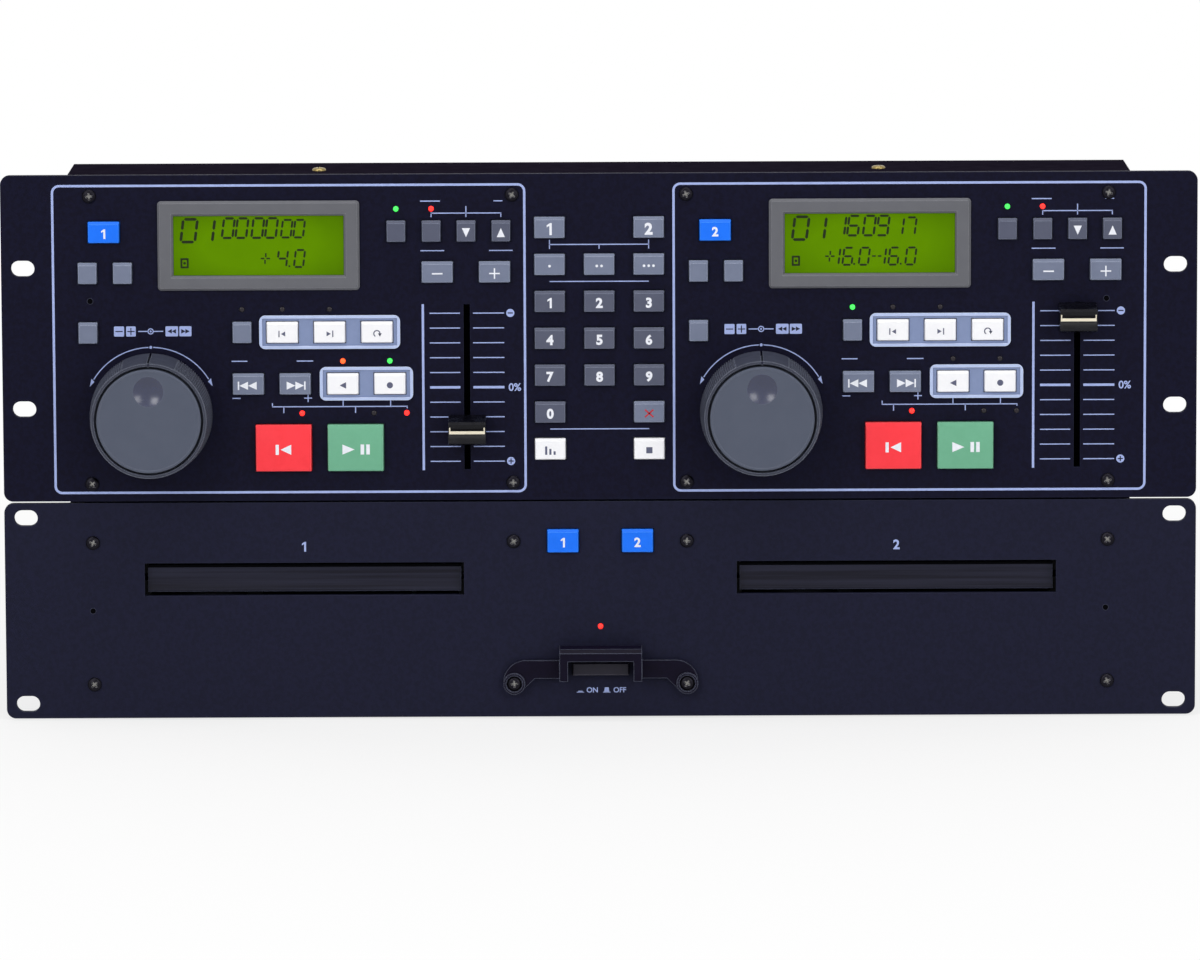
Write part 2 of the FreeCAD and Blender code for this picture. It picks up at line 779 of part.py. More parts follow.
# ---------------------------------------------------------------------------------------------
# Control unit: trim, lamps and displays
# ---------------------------------------------------------------------------------------------
# A raised silver plate round a row of keys, with a rim that stands above its field.
def make_surround(name, deck, first_x, pitch, count, row):
    body = doc.addObject("PartDesign::Body", f"{name}_{deck}")
    middle = f"({DECK_X[deck]} + {first_x} + {pitch} * ({count} - 1) / 2)"
    width = f"({pitch} * ({count} - 1) + dims.wide_key + 2 * dims.surround_margin)"
    outline = sketch_on(body, "outline")
    draw_rect(outline, middle, row, width, "dims.surround_height")
    plate = pad(outline, "dims.surround_reach", forward=True)
    soften(plate, "Fillet", "dims.surround_corner", lambda edge: runs_along(edge, "y"))
    field = sketch_on(body, "field", "-1 * dims.surround_reach")
    draw_rect(field, middle, row, f"{width} - 2 * dims.surround_rim",
              "dims.surround_height - 2 * dims.surround_rim")
    cut(field, "dims.surround_reach / 2")
    keys = [(f"({first_x} + {i} * {pitch})", row) for i in range(count)]
    return without(f"{name}_plate_{deck}", body,
                   punches(f"{name}_key_hole_{deck}", keys, WIDE, DECK_X[deck]))


surrounds = []
for deck in (1, 2):
    surrounds.append(make_surround("loop_surround", deck, "dims.marker_x", "dims.marker_pitch", 3,
                                   "dims.marker_row"))
    surrounds.append(make_surround("sampler_surround", deck, "dims.sampler_x", "dims.sampler_pitch", 2,
                                   "dims.track_row"))
place(sub_part(group_of("key_surrounds", surrounds), "key_surrounds"), z=CONTROL_Z)


# A raised bezel whose opening slopes in to the glass.
def make_display_frame(deck):
    body = doc.addObject("PartDesign::Body", f"display_frame_{deck}")
    middle = on_deck("dims.display_x", deck)
    outline = sketch_on(body, "outline")
    draw_rect(outline, middle, "dims.display_row", "dims.display_width", "dims.display_height")
    bezel = pad(outline, "dims.display_reach", forward=True)
    bezel = soften(bezel, "Fillet", "dims.display_corner", lambda edge: runs_along(edge, "y"))
    opening = sketch_on(body, "opening", "-1 * dims.display_reach")
    draw_rect(opening, middle, "dims.display_row", "dims.glass_width", "dims.glass_height")
    window = cut(opening)
    front = -value("dims.display_reach")
    soften(window, "Chamfer", "dims.display_bevel", lambda edge: lies_at(edge, "y", front))
    return body


frames = [make_display_frame(deck) for deck in (1, 2)]
place(sub_part(group_of("display_frames", frames), "display_frames"), z=CONTROL_Z)
# each screen is a glass in the bezel with its module behind it, down to the circuit board
screens = []
for deck in (1, 2):
    middle = on_deck("dims.display_x", deck)
    glass = block(f"screen_glass_{deck}", middle, "dims.glass_set - dims.display_reach",
                  "dims.display_row", "dims.glass_width - dims.key_gap",
                  "dims.display_reach - dims.glass_set + dims.panel_thickness",
                  "dims.glass_height - dims.key_gap")
    module = block(f"screen_module_{deck}", middle, "dims.panel_thickness", "dims.display_row",
                   "dims.glass_width + 2 * dims.module_margin", "dims.board_gap",
                   "dims.glass_height + 2 * dims.module_margin")
    screens.append(joined(f"screen_{deck}", [glass, module]))
place(sub_part(group_of("display_screens", screens), "display_screens"), z=CONTROL_Z)

# lamps stand on the circuit board and show just proud of the panel
lamps = []
for deck, shift in DECK_X.items():
    for i, (x, z) in enumerate(DECK_LAMPS):
        lamps.append(peg(f"lamp_{deck}_{i}", f"({shift} + {x})", "-1 * dims.lamp_reach",
                         f"{z} + {CONTROL_Z}", "dims.lamp_radius", f"dims.lamp_reach + {BOARD_Y}"))
power_lamp = peg("power_lamp", "0", "-1 * dims.lamp_reach", f"dims.power_lamp_row + {PLAYER_Z}",
                 "dims.lamp_radius", "dims.lamp_reach + dims.panel_thickness + dims.front_board_gap")
place(sub_part(group_of("lamps", lamps + [power_lamp]), "lamps"))


# ---------------------------------------------------------------------------------------------
# Jog dial, shuttle ring and pitch fader.  The dial and ring are turned about their own axis.
# ---------------------------------------------------------------------------------------------
def make_dial(deck):
    body = new_body(f"jog_dial_{deck}")
    profile = sketch_on(body, "profile", role="YZ_Plane")
    face = "(-1 * dims.dial_reach)"
    back = f"({face} + dims.dial_thickness)"
    draw_outline(profile, [(face, "0"), (face, "dims.dial_radius - dims.ring_bevel / 2"),
                           (f"{face} + dims.ring_bevel / 2", "dims.dial_radius"),
                           (back, "dims.dial_radius"), (back, "dims.dial_shaft"),
                           (f"{BOARD_Y} - dims.key_play", "dims.dial_shaft"),
                           (f"{BOARD_Y} - dims.key_play", "0")])
    turn(profile)
    # the finger dimple: a shallow spherical hollow above the centre
    dimple = body.newObject("PartDesign::SubtractiveSphere", body.Name + "_dimple")
    sphere = "((dims.dimple_radius^2 + dims.dimple_depth^2) / (2 * dims.dimple_depth))"
    bind(dimple, Radius=sphere)
    bind(dimple, **{"Placement.Base.y": f"{face} + dims.dimple_depth - {sphere}",
                    "Placement.Base.z": "dims.dimple_offset"})
    place(body, x=on_deck("dims.dial_x", deck), z=f"{CONTROL_Z} + dims.dial_row")
    return body


def make_ring(deck):
    body = new_body(f"shuttle_ring_{deck}")
    profile = sketch_on(body, "profile", role="YZ_Plane")
    front = "(-1 * dims.ring_reach)"
    foot = "(-1 * dims.ring_lift)"
    web = "(dims.dial_thickness - dims.dial_reach + dims.slide_gap)"
    outer = "dims.ring_radius"
    sleeve_end = f"({BOARD_Y} - dims.encoder_depth / 2 - dims.key_play)"
    draw_outline(profile, [
        (front, "dims.ring_bore"), (front, f"{outer} - dims.ring_bevel * 0.6"),
        (f"{front} + dims.ring_bevel", outer), (foot, outer),
        (foot, f"{outer} - dims.ring_wall"), (f"{web} + dims.ring_web", f"{outer} - dims.ring_wall"),
        (f"{web} + dims.ring_web", "dims.sleeve_radius"), (sleeve_end, "dims.sleeve_radius"),
        (sleeve_end, "dims.dial_shaft + dims.slide_gap"), (web, "dims.dial_shaft + dims.slide_gap"),
        (web, "dims.ring_bore")])
    turn(profile)
    notch = sketch_on(body, "notch", front)
    draw_rect(notch, "0", "dims.ring_radius", "dims.notch_width", "dims.notch_width")
    cut(notch, "dims.ring_reach * 0.45")
    place(body, x=on_deck("dims.dial_x", deck), z=f"{CONTROL_Z} + dims.dial_row")
    return body


# The fader's cap has a thumb saddle across it and stands on a thin lever.
def make_fader(deck):
    body = new_body(f"pitch_fader_{deck}")
    middle = f"(dims.fader_row + dims.fader_{deck}_rest)"
    profile = sketch_on(body, "profile", f"{on_deck('dims.fader_x', deck)} - dims.fader_cap_width / 2",
                        "YZ_Plane")
    front = "(-1 * dims.fader_cap_reach)"
    back = "(-1 * dims.fader_cap_lift)"
    half = "dims.fader_cap_height / 2"
    draw_outline(profile, [
        (back, f"{middle} - {half}"), (f"{front} + dims.fader_crest", f"{middle} - {half} * 0.8"),
        (front, f"{middle} - {half} * 0.6"), (f"{front} + dims.fader_saddle", middle),
        (front, f"{middle} + {half} * 0.6"), (f"{front} + dims.fader_crest", f"{middle} + {half} * 0.8"),
        (back, f"{middle} + {half}")])
    pad(profile, "dims.fader_cap_width", forward=True)
    lever = sketch_on(body, "lever", back)
    draw_rect(lever, on_deck("dims.fader_x", deck), middle, "dims.fader_lever",
              "dims.fader_lever_height")
    pad(lever, "dims.fader_cap_lift + dims.panel_thickness + dims.track_wall + 2")
    slider = sketch_on(body, "slider", "(dims.panel_thickness + dims.track_wall + dims.slide_gap)")
    draw_rect(slider, on_deck("dims.fader_x", deck), middle,
              "dims.track_width - 2 * dims.track_wall - 2 * dims.slide_gap", "dims.fader_slider_length")
    pad(slider, "dims.track_depth - 2 * dims.track_wall - 2 * dims.slide_gap")
    place(body, z=CONTROL_Z)


for deck in (1, 2):
    make_dial(deck)
    make_ring(deck)
    make_fader(deck)

# the fader's steel channel behind the panel, slotted for the lever
tracks = []
for deck, shift in DECK_X.items():
    x = on_deck("dims.fader_x", deck)
    length = "(dims.fader_travel + dims.fader_slider_length + 2 * dims.slide_gap)"
    shell = block(f"track_shell_{deck}", x, "dims.panel_thickness", "dims.fader_row",
                  "dims.track_width", "dims.track_depth", f"{length} + 2 * dims.track_wall")
    room = block(f"track_room_{deck}", x, "dims.panel_thickness + dims.track_wall", "dims.fader_row",
                 "dims.track_width - 2 * dims.track_wall", "dims.track_depth - 2 * dims.track_wall",
                 length)
    slot = block(f"track_slot_{deck}", x, "dims.panel_thickness - 1", "dims.fader_row",
                 "dims.fader_slot", "dims.track_wall + 2", FADER_SLOT_LENGTH)
    tracks.append(without(f"fader_track_{deck}", shell, [room, slot]))
place(sub_part(group_of("fader_tracks", tracks), "fader_tracks"), z=CONTROL_Z)

# ---------------------------------------------------------------------------------------------
# Control unit: circuit board with the key switches and the dials' encoders, and the case
# ---------------------------------------------------------------------------------------------
board = block("control_board_sheet", "0", BOARD_Y, "dims.control_height / 2",
              "dims.case_width - 4 * dims.sheet_steel", "dims.board_thickness",
              "dims.control_height - 2 * dims.case_inset - 4 * dims.sheet_steel")
mounted = [board]
switch_y = f"({BOARD_Y} - dims.switch_size / 2)"
all_keys = [(x, z) for x, z in FUNCTION_KEYS + NUMBER_KEYS]
for deck in (1, 2):
    all_keys += [(on_deck(x, deck), z) for size, spots in DECK_KEYS.values() for x, z in spots]
    all_keys.append((on_deck(OPEN_KEY[0], deck), OPEN_KEY[1]))
for i, (x, z) in enumerate(all_keys):
    mounted.append(block(f"key_switch_{i}", x, switch_y, z, "dims.switch_size", "dims.switch_size / 2",
                         "dims.switch_size"))
for deck in (1, 2):
    x = on_deck("dims.dial_x", deck)
    body_y = f"({BOARD_Y} - dims.encoder_depth)"
    case = block(f"encoder_case_{deck}", x, body_y, "dims.dial_row", "dims.encoder_size",
                 "dims.encoder_depth", "dims.encoder_size")
    seat = rod(f"encoder_seat_{deck}", x, f"{body_y} - 1", "dims.dial_row",
               "dims.sleeve_radius + dims.fit", "dims.encoder_depth / 2 + 1")
    bush = rod(f"encoder_bush_{deck}", x, body_y, "dims.dial_row", "dims.dial_shaft + dims.fit",
               "dims.encoder_depth")
    mounted.append(without(f"encoder_{deck}", case, [seat, bush]))
place(sub_part(group_of("control_board", mounted), "control_board"), z=CONTROL_Z)


# A folded steel case: open at the front but for the flanges that the panel screws reach.
def make_case():
    depth = "dims.case_depth"
    height = "(dims.control_height - 2 * dims.case_inset)"
    middle = "(dims.control_height / 2)"
    start = "dims.panel_thickness"
    shell = block("case_shell", "0", start, middle, "dims.case_width", depth, height)
    room = block("case_room", "0", f"{start} + dims.sheet_steel", middle,
                 "dims.case_width - 2 * dims.sheet_steel", f"{depth} - 2 * dims.sheet_steel",
                 f"{height} - 2 * dims.sheet_steel")
    mouth = block("case_mouth", "0", f"{start} - 1", middle, "dims.case_width - 4 * dims.sheet_steel",
                  "dims.sheet_steel + 2", f"{height} - 2 * dims.fold")
    post_holes = [peg_hole(f"case_post_hole_{i}", x, f"{start} - 1", z, "dims.post_radius + dims.slide_gap",
                           "dims.sheet_steel + 2") for i, (x, z) in enumerate(BOARD_POSTS)]
    holes = [peg_hole(f"case_screw_hole_{i}", x, f"{start} - 1", z, "dims.screw_hole",
                      "dims.sheet_steel + 2") for i, (x, z) in enumerate(CONTROL_SCREWS)]
    sockets = [peg_hole(f"case_socket_hole_{side}", f"({side} * dims.din_spread)",
                        f"{start} + {depth} - dims.through", "dims.din_row",
                        "dims.din_radius + dims.lamp_gap", "2 * dims.through", sides=12)
               for side in (-1, 1)]
    lid_screws = [peg_hole(f"case_lid_hole_{side}", f"({side} * dims.lid_screw_x)", LID_SCREW_Y,
                           f"{height} + dims.case_inset - dims.through", "dims.screw_hole",
                           "2 * dims.through", "z") for side in (-1, 1)]
    slots = []
    for side in (-1, 1):
        for i in range(6):
            slots.append(block(f"case_vent_{side}_{i}", f"({side} * dims.case_width / 2)",
                               f"{start} + dims.vent_start + {i} * dims.vent_pitch", middle,
                               "2 * dims.through", "dims.vent_width", "dims.vent_height"))
    case = sub_part(without("control_case", shell, [room, mouth] + holes + post_holes + sockets
                            + lid_screws + slots),
                    "control_case")
    place(case, z=CONTROL_Z)


LID_SCREW_Y = "(dims.panel_thickness + dims.case_depth / 2)"
make_case()

# ---------------------------------------------------------------------------------------------
# Player unit: panel, chassis and cover
# ---------------------------------------------------------------------------------------------
def make_player_panel():
    body = doc.addObject("PartDesign::Body", "player_blank")
    make_plate(body, "dims.player_height")
    cut_rack_slots(body, "dims.player_hole_low", "dims.player_hole_pitch")
    tools = drills("player_screw_hole", PLAYER_SCREWS, "dims.screw_hole")
    tools += punches("player_key_hole", PLAYER_KEYS, ("dims.wide_key", "dims.player_key_height"))
    tools += drills("power_lamp_hole", [("0", "dims.power_lamp_row")], "dims.lamp_radius + dims.lamp_gap")
    tools += punches("power_hole", [("0", "dims.power_row")],
                     ("dims.power_width + 2 * dims.key_gap", "dims.power_height + 2 * dims.key_gap"))
    for deck, shift in LOADER_X.items():
        tools += punches(f"tray_slot_{deck}", [("0", "dims.tray_row")],
                         ("dims.tray_slot_width", "dims.tray_slot_height"), shift)
    panel = sub_part(without("player_panel", body, tools), "player_panel")
    place(panel, z=PLAYER_Z)


CHASSIS_HEIGHT = "(dims.player_height - 2 * dims.chassis_inset)"
CHASSIS_MIDDLE = "(dims.player_height / 2)"
CHASSIS_BACK = "(dims.panel_thickness + dims.chassis_depth)"
FLOOR = "(dims.chassis_inset + dims.sheet_steel)"


# A folded tray of sheet steel, open on top, with a window in front for each tray.
def make_chassis():
    start = "dims.panel_thickness"
    wall_height = f"({CHASSIS_HEIGHT} - dims.sheet_steel)"
    wall_middle = f"(dims.chassis_inset + {wall_height} / 2)"
    width = "(dims.case_width - 2 * dims.sheet_steel)"
    shell = block("chassis_shell", "0", start, wall_middle, width, "dims.chassis_depth", wall_height)
    room = block("chassis_room", "0", f"{start} + dims.sheet_steel", f"{wall_middle} + dims.sheet_steel",
                 f"{width} - 2 * dims.sheet_steel", "dims.chassis_depth - 2 * dims.sheet_steel",
                 wall_height)
    through = "dims.sheet_steel + 2"
    tools = [room]
    for deck, shift in LOADER_X.items():
        tools.append(block(f"chassis_window_{deck}", shift, f"{start} - 1", "dims.tray_row",
                           "dims.tray_slot_width + 2 * dims.window_margin", through,
                           "dims.tray_slot_height + 2 * dims.window_margin"))
    tools += [peg_hole(f"chassis_screw_hole_{i}", x, f"{start} - 1", z, "dims.screw_hole", through)
              for i, (x, z) in enumerate(PLAYER_SCREWS)]
    tools.append(block("chassis_key_window", "0", f"{start} - 1", "dims.player_key_row",
                       "2 * dims.player_key_x + dims.wide_key + 4 * dims.window_margin", through,
                       "dims.player_key_height + 4 * dims.window_margin"))
    tools.append(block("chassis_power_window", "0", f"{start} - 1", "dims.power_row",
                       "dims.power_width + 2 * dims.window_margin", through,
                       "dims.power_height + 2 * dims.window_margin"))
    tools.append(peg_hole("chassis_lamp_window", "0", f"{start} - 1", "dims.power_lamp_row",
                          "2 * dims.window_margin", through))
    back = f"({CHASSIS_BACK} - dims.sheet_steel - 1)"
    tools += [peg_hole(f"jack_hole_{i}", x, back, z, "dims.jack_radius + dims.lamp_gap", through)
              for i, (x, z) in enumerate(JACKS)]
    tools += [peg_hole(f"din_hole_{i}", x, back, z, "dims.din_radius + dims.lamp_gap", through, sides=12)
              for i, (x, z) in enumerate(DIN_SOCKETS)]
    tools.append(block("inlet_hole", "dims.inlet_x", back, "dims.inlet_row",
                       "dims.inlet_width + 4", through, "dims.inlet_height + 4"))
    tools += [peg_hole(f"chassis_side_hole_{i}", x, y, z, "dims.screw_hole", SIDE_THROUGH, "x")
              for i, (x, y, z) in enumerate(COVER_SCREW_HOLES)]
    # cooling slots in both side walls
    for side in (-1, 1):
        for i in range(8):
            tools.append(block(f"chassis_vent_{side}_{i}", f"({side} * {width} / 2)",
                               f"{start} + dims.chassis_depth * dims.rear_share"
                               f" + {i} * dims.chassis_vent_pitch", CHASSIS_MIDDLE,
                               "2 * dims.through", "dims.vent_width", "dims.chassis_vent_height"))
    chassis = sub_part(without("player_chassis", shell, tools), "player_chassis")
    place(chassis, z=PLAYER_Z)


# The lid: a folded cover over the chassis, with a rear lip and rows of cooling slots.
def make_cover():
    start = "dims.panel_thickness"
    low = "(dims.chassis_inset + dims.cover_skirt)"
    height = f"({CHASSIS_HEIGHT} - dims.cover_skirt)"
    shell = block("cover_shell", "0", start, f"{low} + {height} / 2", "dims.case_width",
                  "dims.chassis_depth", height)
    room = block("cover_room", "0", f"{start} - 1", f"{low} + {height} / 2 - dims.sheet_steel",
                 "dims.case_width - 2 * dims.sheet_steel", "dims.chassis_depth + 2", height)
    slots = []
    for side in (-1, 1):
        for i in range(9):
            slots.append(block(f"cover_slot_{side}_{i}", f"({side} * dims.loader_pitch / 2)",
                               f"{start} + dims.chassis_depth * dims.rear_share"
                               f" + {i} * dims.cover_slot_pitch", f"{low} + {height}",
                               "dims.cover_slot_length", "dims.cover_slot_width", "2 * dims.through"))
    holes = [peg_hole(f"cover_screw_hole_{i}", x, y, z, "dims.screw_hole", SIDE_THROUGH, "x")
             for i, (x, y, z) in enumerate(COVER_SCREW_HOLES)]
    cover = sub_part(without("player_cover", shell, [room] + slots + holes), "player_cover")
    place(cover, z=PLAYER_Z)


SIDE_THROUGH = "2 * dims.through"
COVER_SCREW_Y = ["(dims.panel_thickness + dims.cover_screw_front)",
                 "(dims.panel_thickness + dims.cover_screw_back)"]
COVER_SCREW_HOLES = [(f"({side} * dims.case_width / 2 - dims.through)", y, "dims.cover_screw_row")
                     for side in (-1, 1) for y in COVER_SCREW_Y]
JACKS = [(f"({side} * dims.jack_spread + {i} * dims.jack_pitch)", "dims.jack_row")
         for side in (-1, 1) for i in (-1, 0, 1)]
DIN_SOCKETS = [(f"({side} * dims.din_spread / 2)", "dims.jack_row") for side in (-1, 1)]

make_player_panel()
make_chassis()
make_cover()

# low pads under the player, and pads of the gap's height between the two units
feet = []
for side in (-1, 1):
    x = f"({side} * (dims.case_width / 2 - dims.foot_margin))"
    for y in ("dims.foot_margin", "(dims.chassis_depth - dims.foot_margin)"):
        feet.append(peg(f"player_foot_{side}", x, f"{FRONT_Y} + {y}", "0", "dims.foot_radius",
                        "dims.panel_lift + dims.chassis_inset", "z", 12))
    for y in ("(dims.panel_thickness + dims.case_depth * 0.25)",
              "(dims.panel_thickness + dims.case_depth * 0.75)"):
        feet.append(peg(f"case_foot_{side}", x, f"{FRONT_Y} + {y}",
                        f"{CONTROL_Z} - dims.unit_gap - dims.chassis_inset", "dims.foot_radius",
                        "dims.unit_gap + dims.chassis_inset + dims.case_inset", "z", 12))
sub_part(group_of("rubber_feet", feet), "rubber_feet")


# ---------------------------------------------------------------------------------------------
# Screws: a head seated on its panel with a six-sided shank through it
# ---------------------------------------------------------------------------------------------
# "out" is the way the head stands: -y in front, +z on top, and -x or +x at the sides.
def make_screw(name, x, y, z, out):
    axis = out[1]
    sign = -1 if out[0] == "-" else 1
    spot = {"x": x, "y": y, "z": z}
    parts = []
    for part, radius, sides, start, length in (
            ("head", "dims.screw_head", 12, "0", "dims.screw_head_height"),
            ("shank", "dims.screw_shank", 6, "-1 * dims.screw_length", "dims.screw_length")):
        low = start if sign > 0 else f"-1 * ({start} + {length})"
        place_of = {**spot, axis: f"({spot[axis]} + {low})"}
        parts.append(peg(f"{name}_{part}", place_of["x"], place_of["y"], place_of["z"], radius, length,
                         axis, sides))
    return joined(name, parts)


screws = [make_screw(f"control_screw_{i}", x, FRONT_Y, f"({z} + {CONTROL_Z})", "-y")
          for i, (x, z) in enumerate(CONTROL_SCREWS)]
for i, (x, z) in enumerate(PLAYER_SCREWS):
    on_guard = x.endswith("dims.screw_inner_column)") and z == "dims.player_screw_low"
    y = f"({FRONT_Y} - dims.guard_arm)" if on_guard else FRONT_Y
    screws.append(make_screw(f"player_screw_{i}", x, y, f"({z} + {PLAYER_Z})", "-y"))
for side in (-1, 1):
    screws.append(make_screw(f"lid_screw_{side}", f"({side} * dims.lid_screw_x)",
                             f"({FRONT_Y} + {LID_SCREW_Y})",
                             f"({CONTROL_Z} + dims.control_height - dims.case_inset)", "+z"))
    for i, y in enumerate(COVER_SCREW_Y):
        screws.append(make_screw(f"cover_screw_{side}_{i}", f"({side} * dims.case_width / 2)",
                                 f"({FRONT_Y} + {y})", f"(dims.cover_screw_row + {PLAYER_Z})",
                                 "+x" if side > 0 else "-x"))
sub_part(group_of("screws", screws), "screws")


# ---------------------------------------------------------------------------------------------
# Power switch: the button in its hooded guard
# ---------------------------------------------------------------------------------------------
def make_guard():
    body = new_body("power_switch_guard")
    column = "dims.screw_inner_column"
    row = "dims.player_screw_low"
    diagonal = "(dims.guard_boss - 0.1) * cos(45)"
    end = f"({column} + dims.guard_boss - 0.1)"
    # each arm comes down at 45 degrees to the lower side of its boss, and rounds over the top of it
    half = [(f"{column} - {diagonal} - (dims.guard_bottom - {row} + {diagonal})", "dims.guard_bottom"),
            (f"{column} - {diagonal}", f"{row} - {diagonal}"), (end, row), (end, "dims.guard_arm_top")]
    flange = sketch_on(body, "flange")
    draw_outline(flange, half + [(f"-1 * ({x})", z) for x, z in reversed(half)])
    plate = pad(flange, "dims.guard_arm", forward=True)
    arm_top = value("dims.guard_arm_top")
    soften(plate, "Fillet", "dims.guard_shoulder",
           lambda edge: runs_along(edge, "y") and lies_at(edge, "z", arm_top))
    bosses = sketch_on(body, "bosses")
    for side in (-1, 1):
        draw_circle(bosses, f"{side} * {column}", row, "dims.guard_boss")
    pad(bosses, "dims.guard_arm", forward=True)
    hood = sketch_on(body, "hood")
    draw_box(hood, "-1 * dims.guard_half_width", "dims.guard_half_width", "dims.guard_bottom",
             "dims.guard_top")
    block_out = pad(hood, "dims.guard_reach", forward=True)
    front = -value("dims.guard_reach")
    top = value("dims.guard_top")
    soften(block_out, "Chamfer", "dims.guard_bevel",
           lambda edge: lies_at(edge, "y", front) and edge.BoundBox.ZMin > top - 0.01)
    mouth = sketch_on(body, "mouth")
    inside = "(dims.guard_half_width - dims.guard_wall)"
    draw_box(mouth, "-1 * " + inside, inside, "dims.guard_bottom - 1", "dims.guard_top - dims.guard_hood")
    cut(mouth)
    holes = sketch_on(body, "holes")
    for side in (-1, 1):
        draw_circle(holes, f"{side} * {column}", row, "dims.screw_hole")
    cut(holes)
    place(body, z=PLAYER_Z)


POWER_LIP_Y = "(dims.panel_thickness + dims.sheet_steel + dims.key_play)"


def make_power_button():
    body = new_body("power_button")
    cap = sketch_on(body, "cap", "-1 * dims.power_reach")
    draw_rect(cap, "0", "dims.power_row", "dims.power_width", "dims.power_height")
    pad(cap, f"dims.power_reach + {POWER_LIP_Y}")
    lip = sketch_on(body, "lip", POWER_LIP_Y)
    draw_rect(lip, "0", "dims.power_row", "dims.power_width + 2 * dims.power_lip",
              "dims.power_height + 2 * dims.power_lip")
    pad(lip, "dims.power_flange")
    plunger = sketch_on(body, "plunger", f"{POWER_LIP_Y} + dims.power_flange")
    draw_rect(plunger, "0", "dims.power_row", "dims.power_plunger", "dims.key_stem")
    last = pad(plunger, "dims.power_travel")
    front = -value("dims.power_reach")
    soften(last, "Chamfer", "dims.key_bevel", lambda edge: lies_at(edge, "y", front))
    place(body, z=PLAYER_Z)


make_guard()
make_power_button()

# ---------------------------------------------------------------------------------------------
# Disc loaders.  A tray with a rack under its left side runs in a moulded frame; a toothed wheel
# drives the rack.  Between them a traverse, hinged at the back, carries the spindle and pickup.
# ---------------------------------------------------------------------------------------------
GEAR_RADIUS = "(dims.gear_module * dims.gear_teeth / 2)"
GEAR_X = f"(dims.rack_x + {GEAR_RADIUS})"
RACK_PITCH = "(pi * dims.gear_module)"
RACK_LOW = f"({TRAY_BOTTOM} - dims.rack_depth)"
RACK_START = "(dims.tray_setback + dims.tray_front_depth + dims.rack_front)"
TRAY_PLATE_Y = "(dims.tray_setback + dims.tray_front_depth)"
TRAY_END = "(dims.gear_y + dims.tray_travel + dims.rack_spare)"


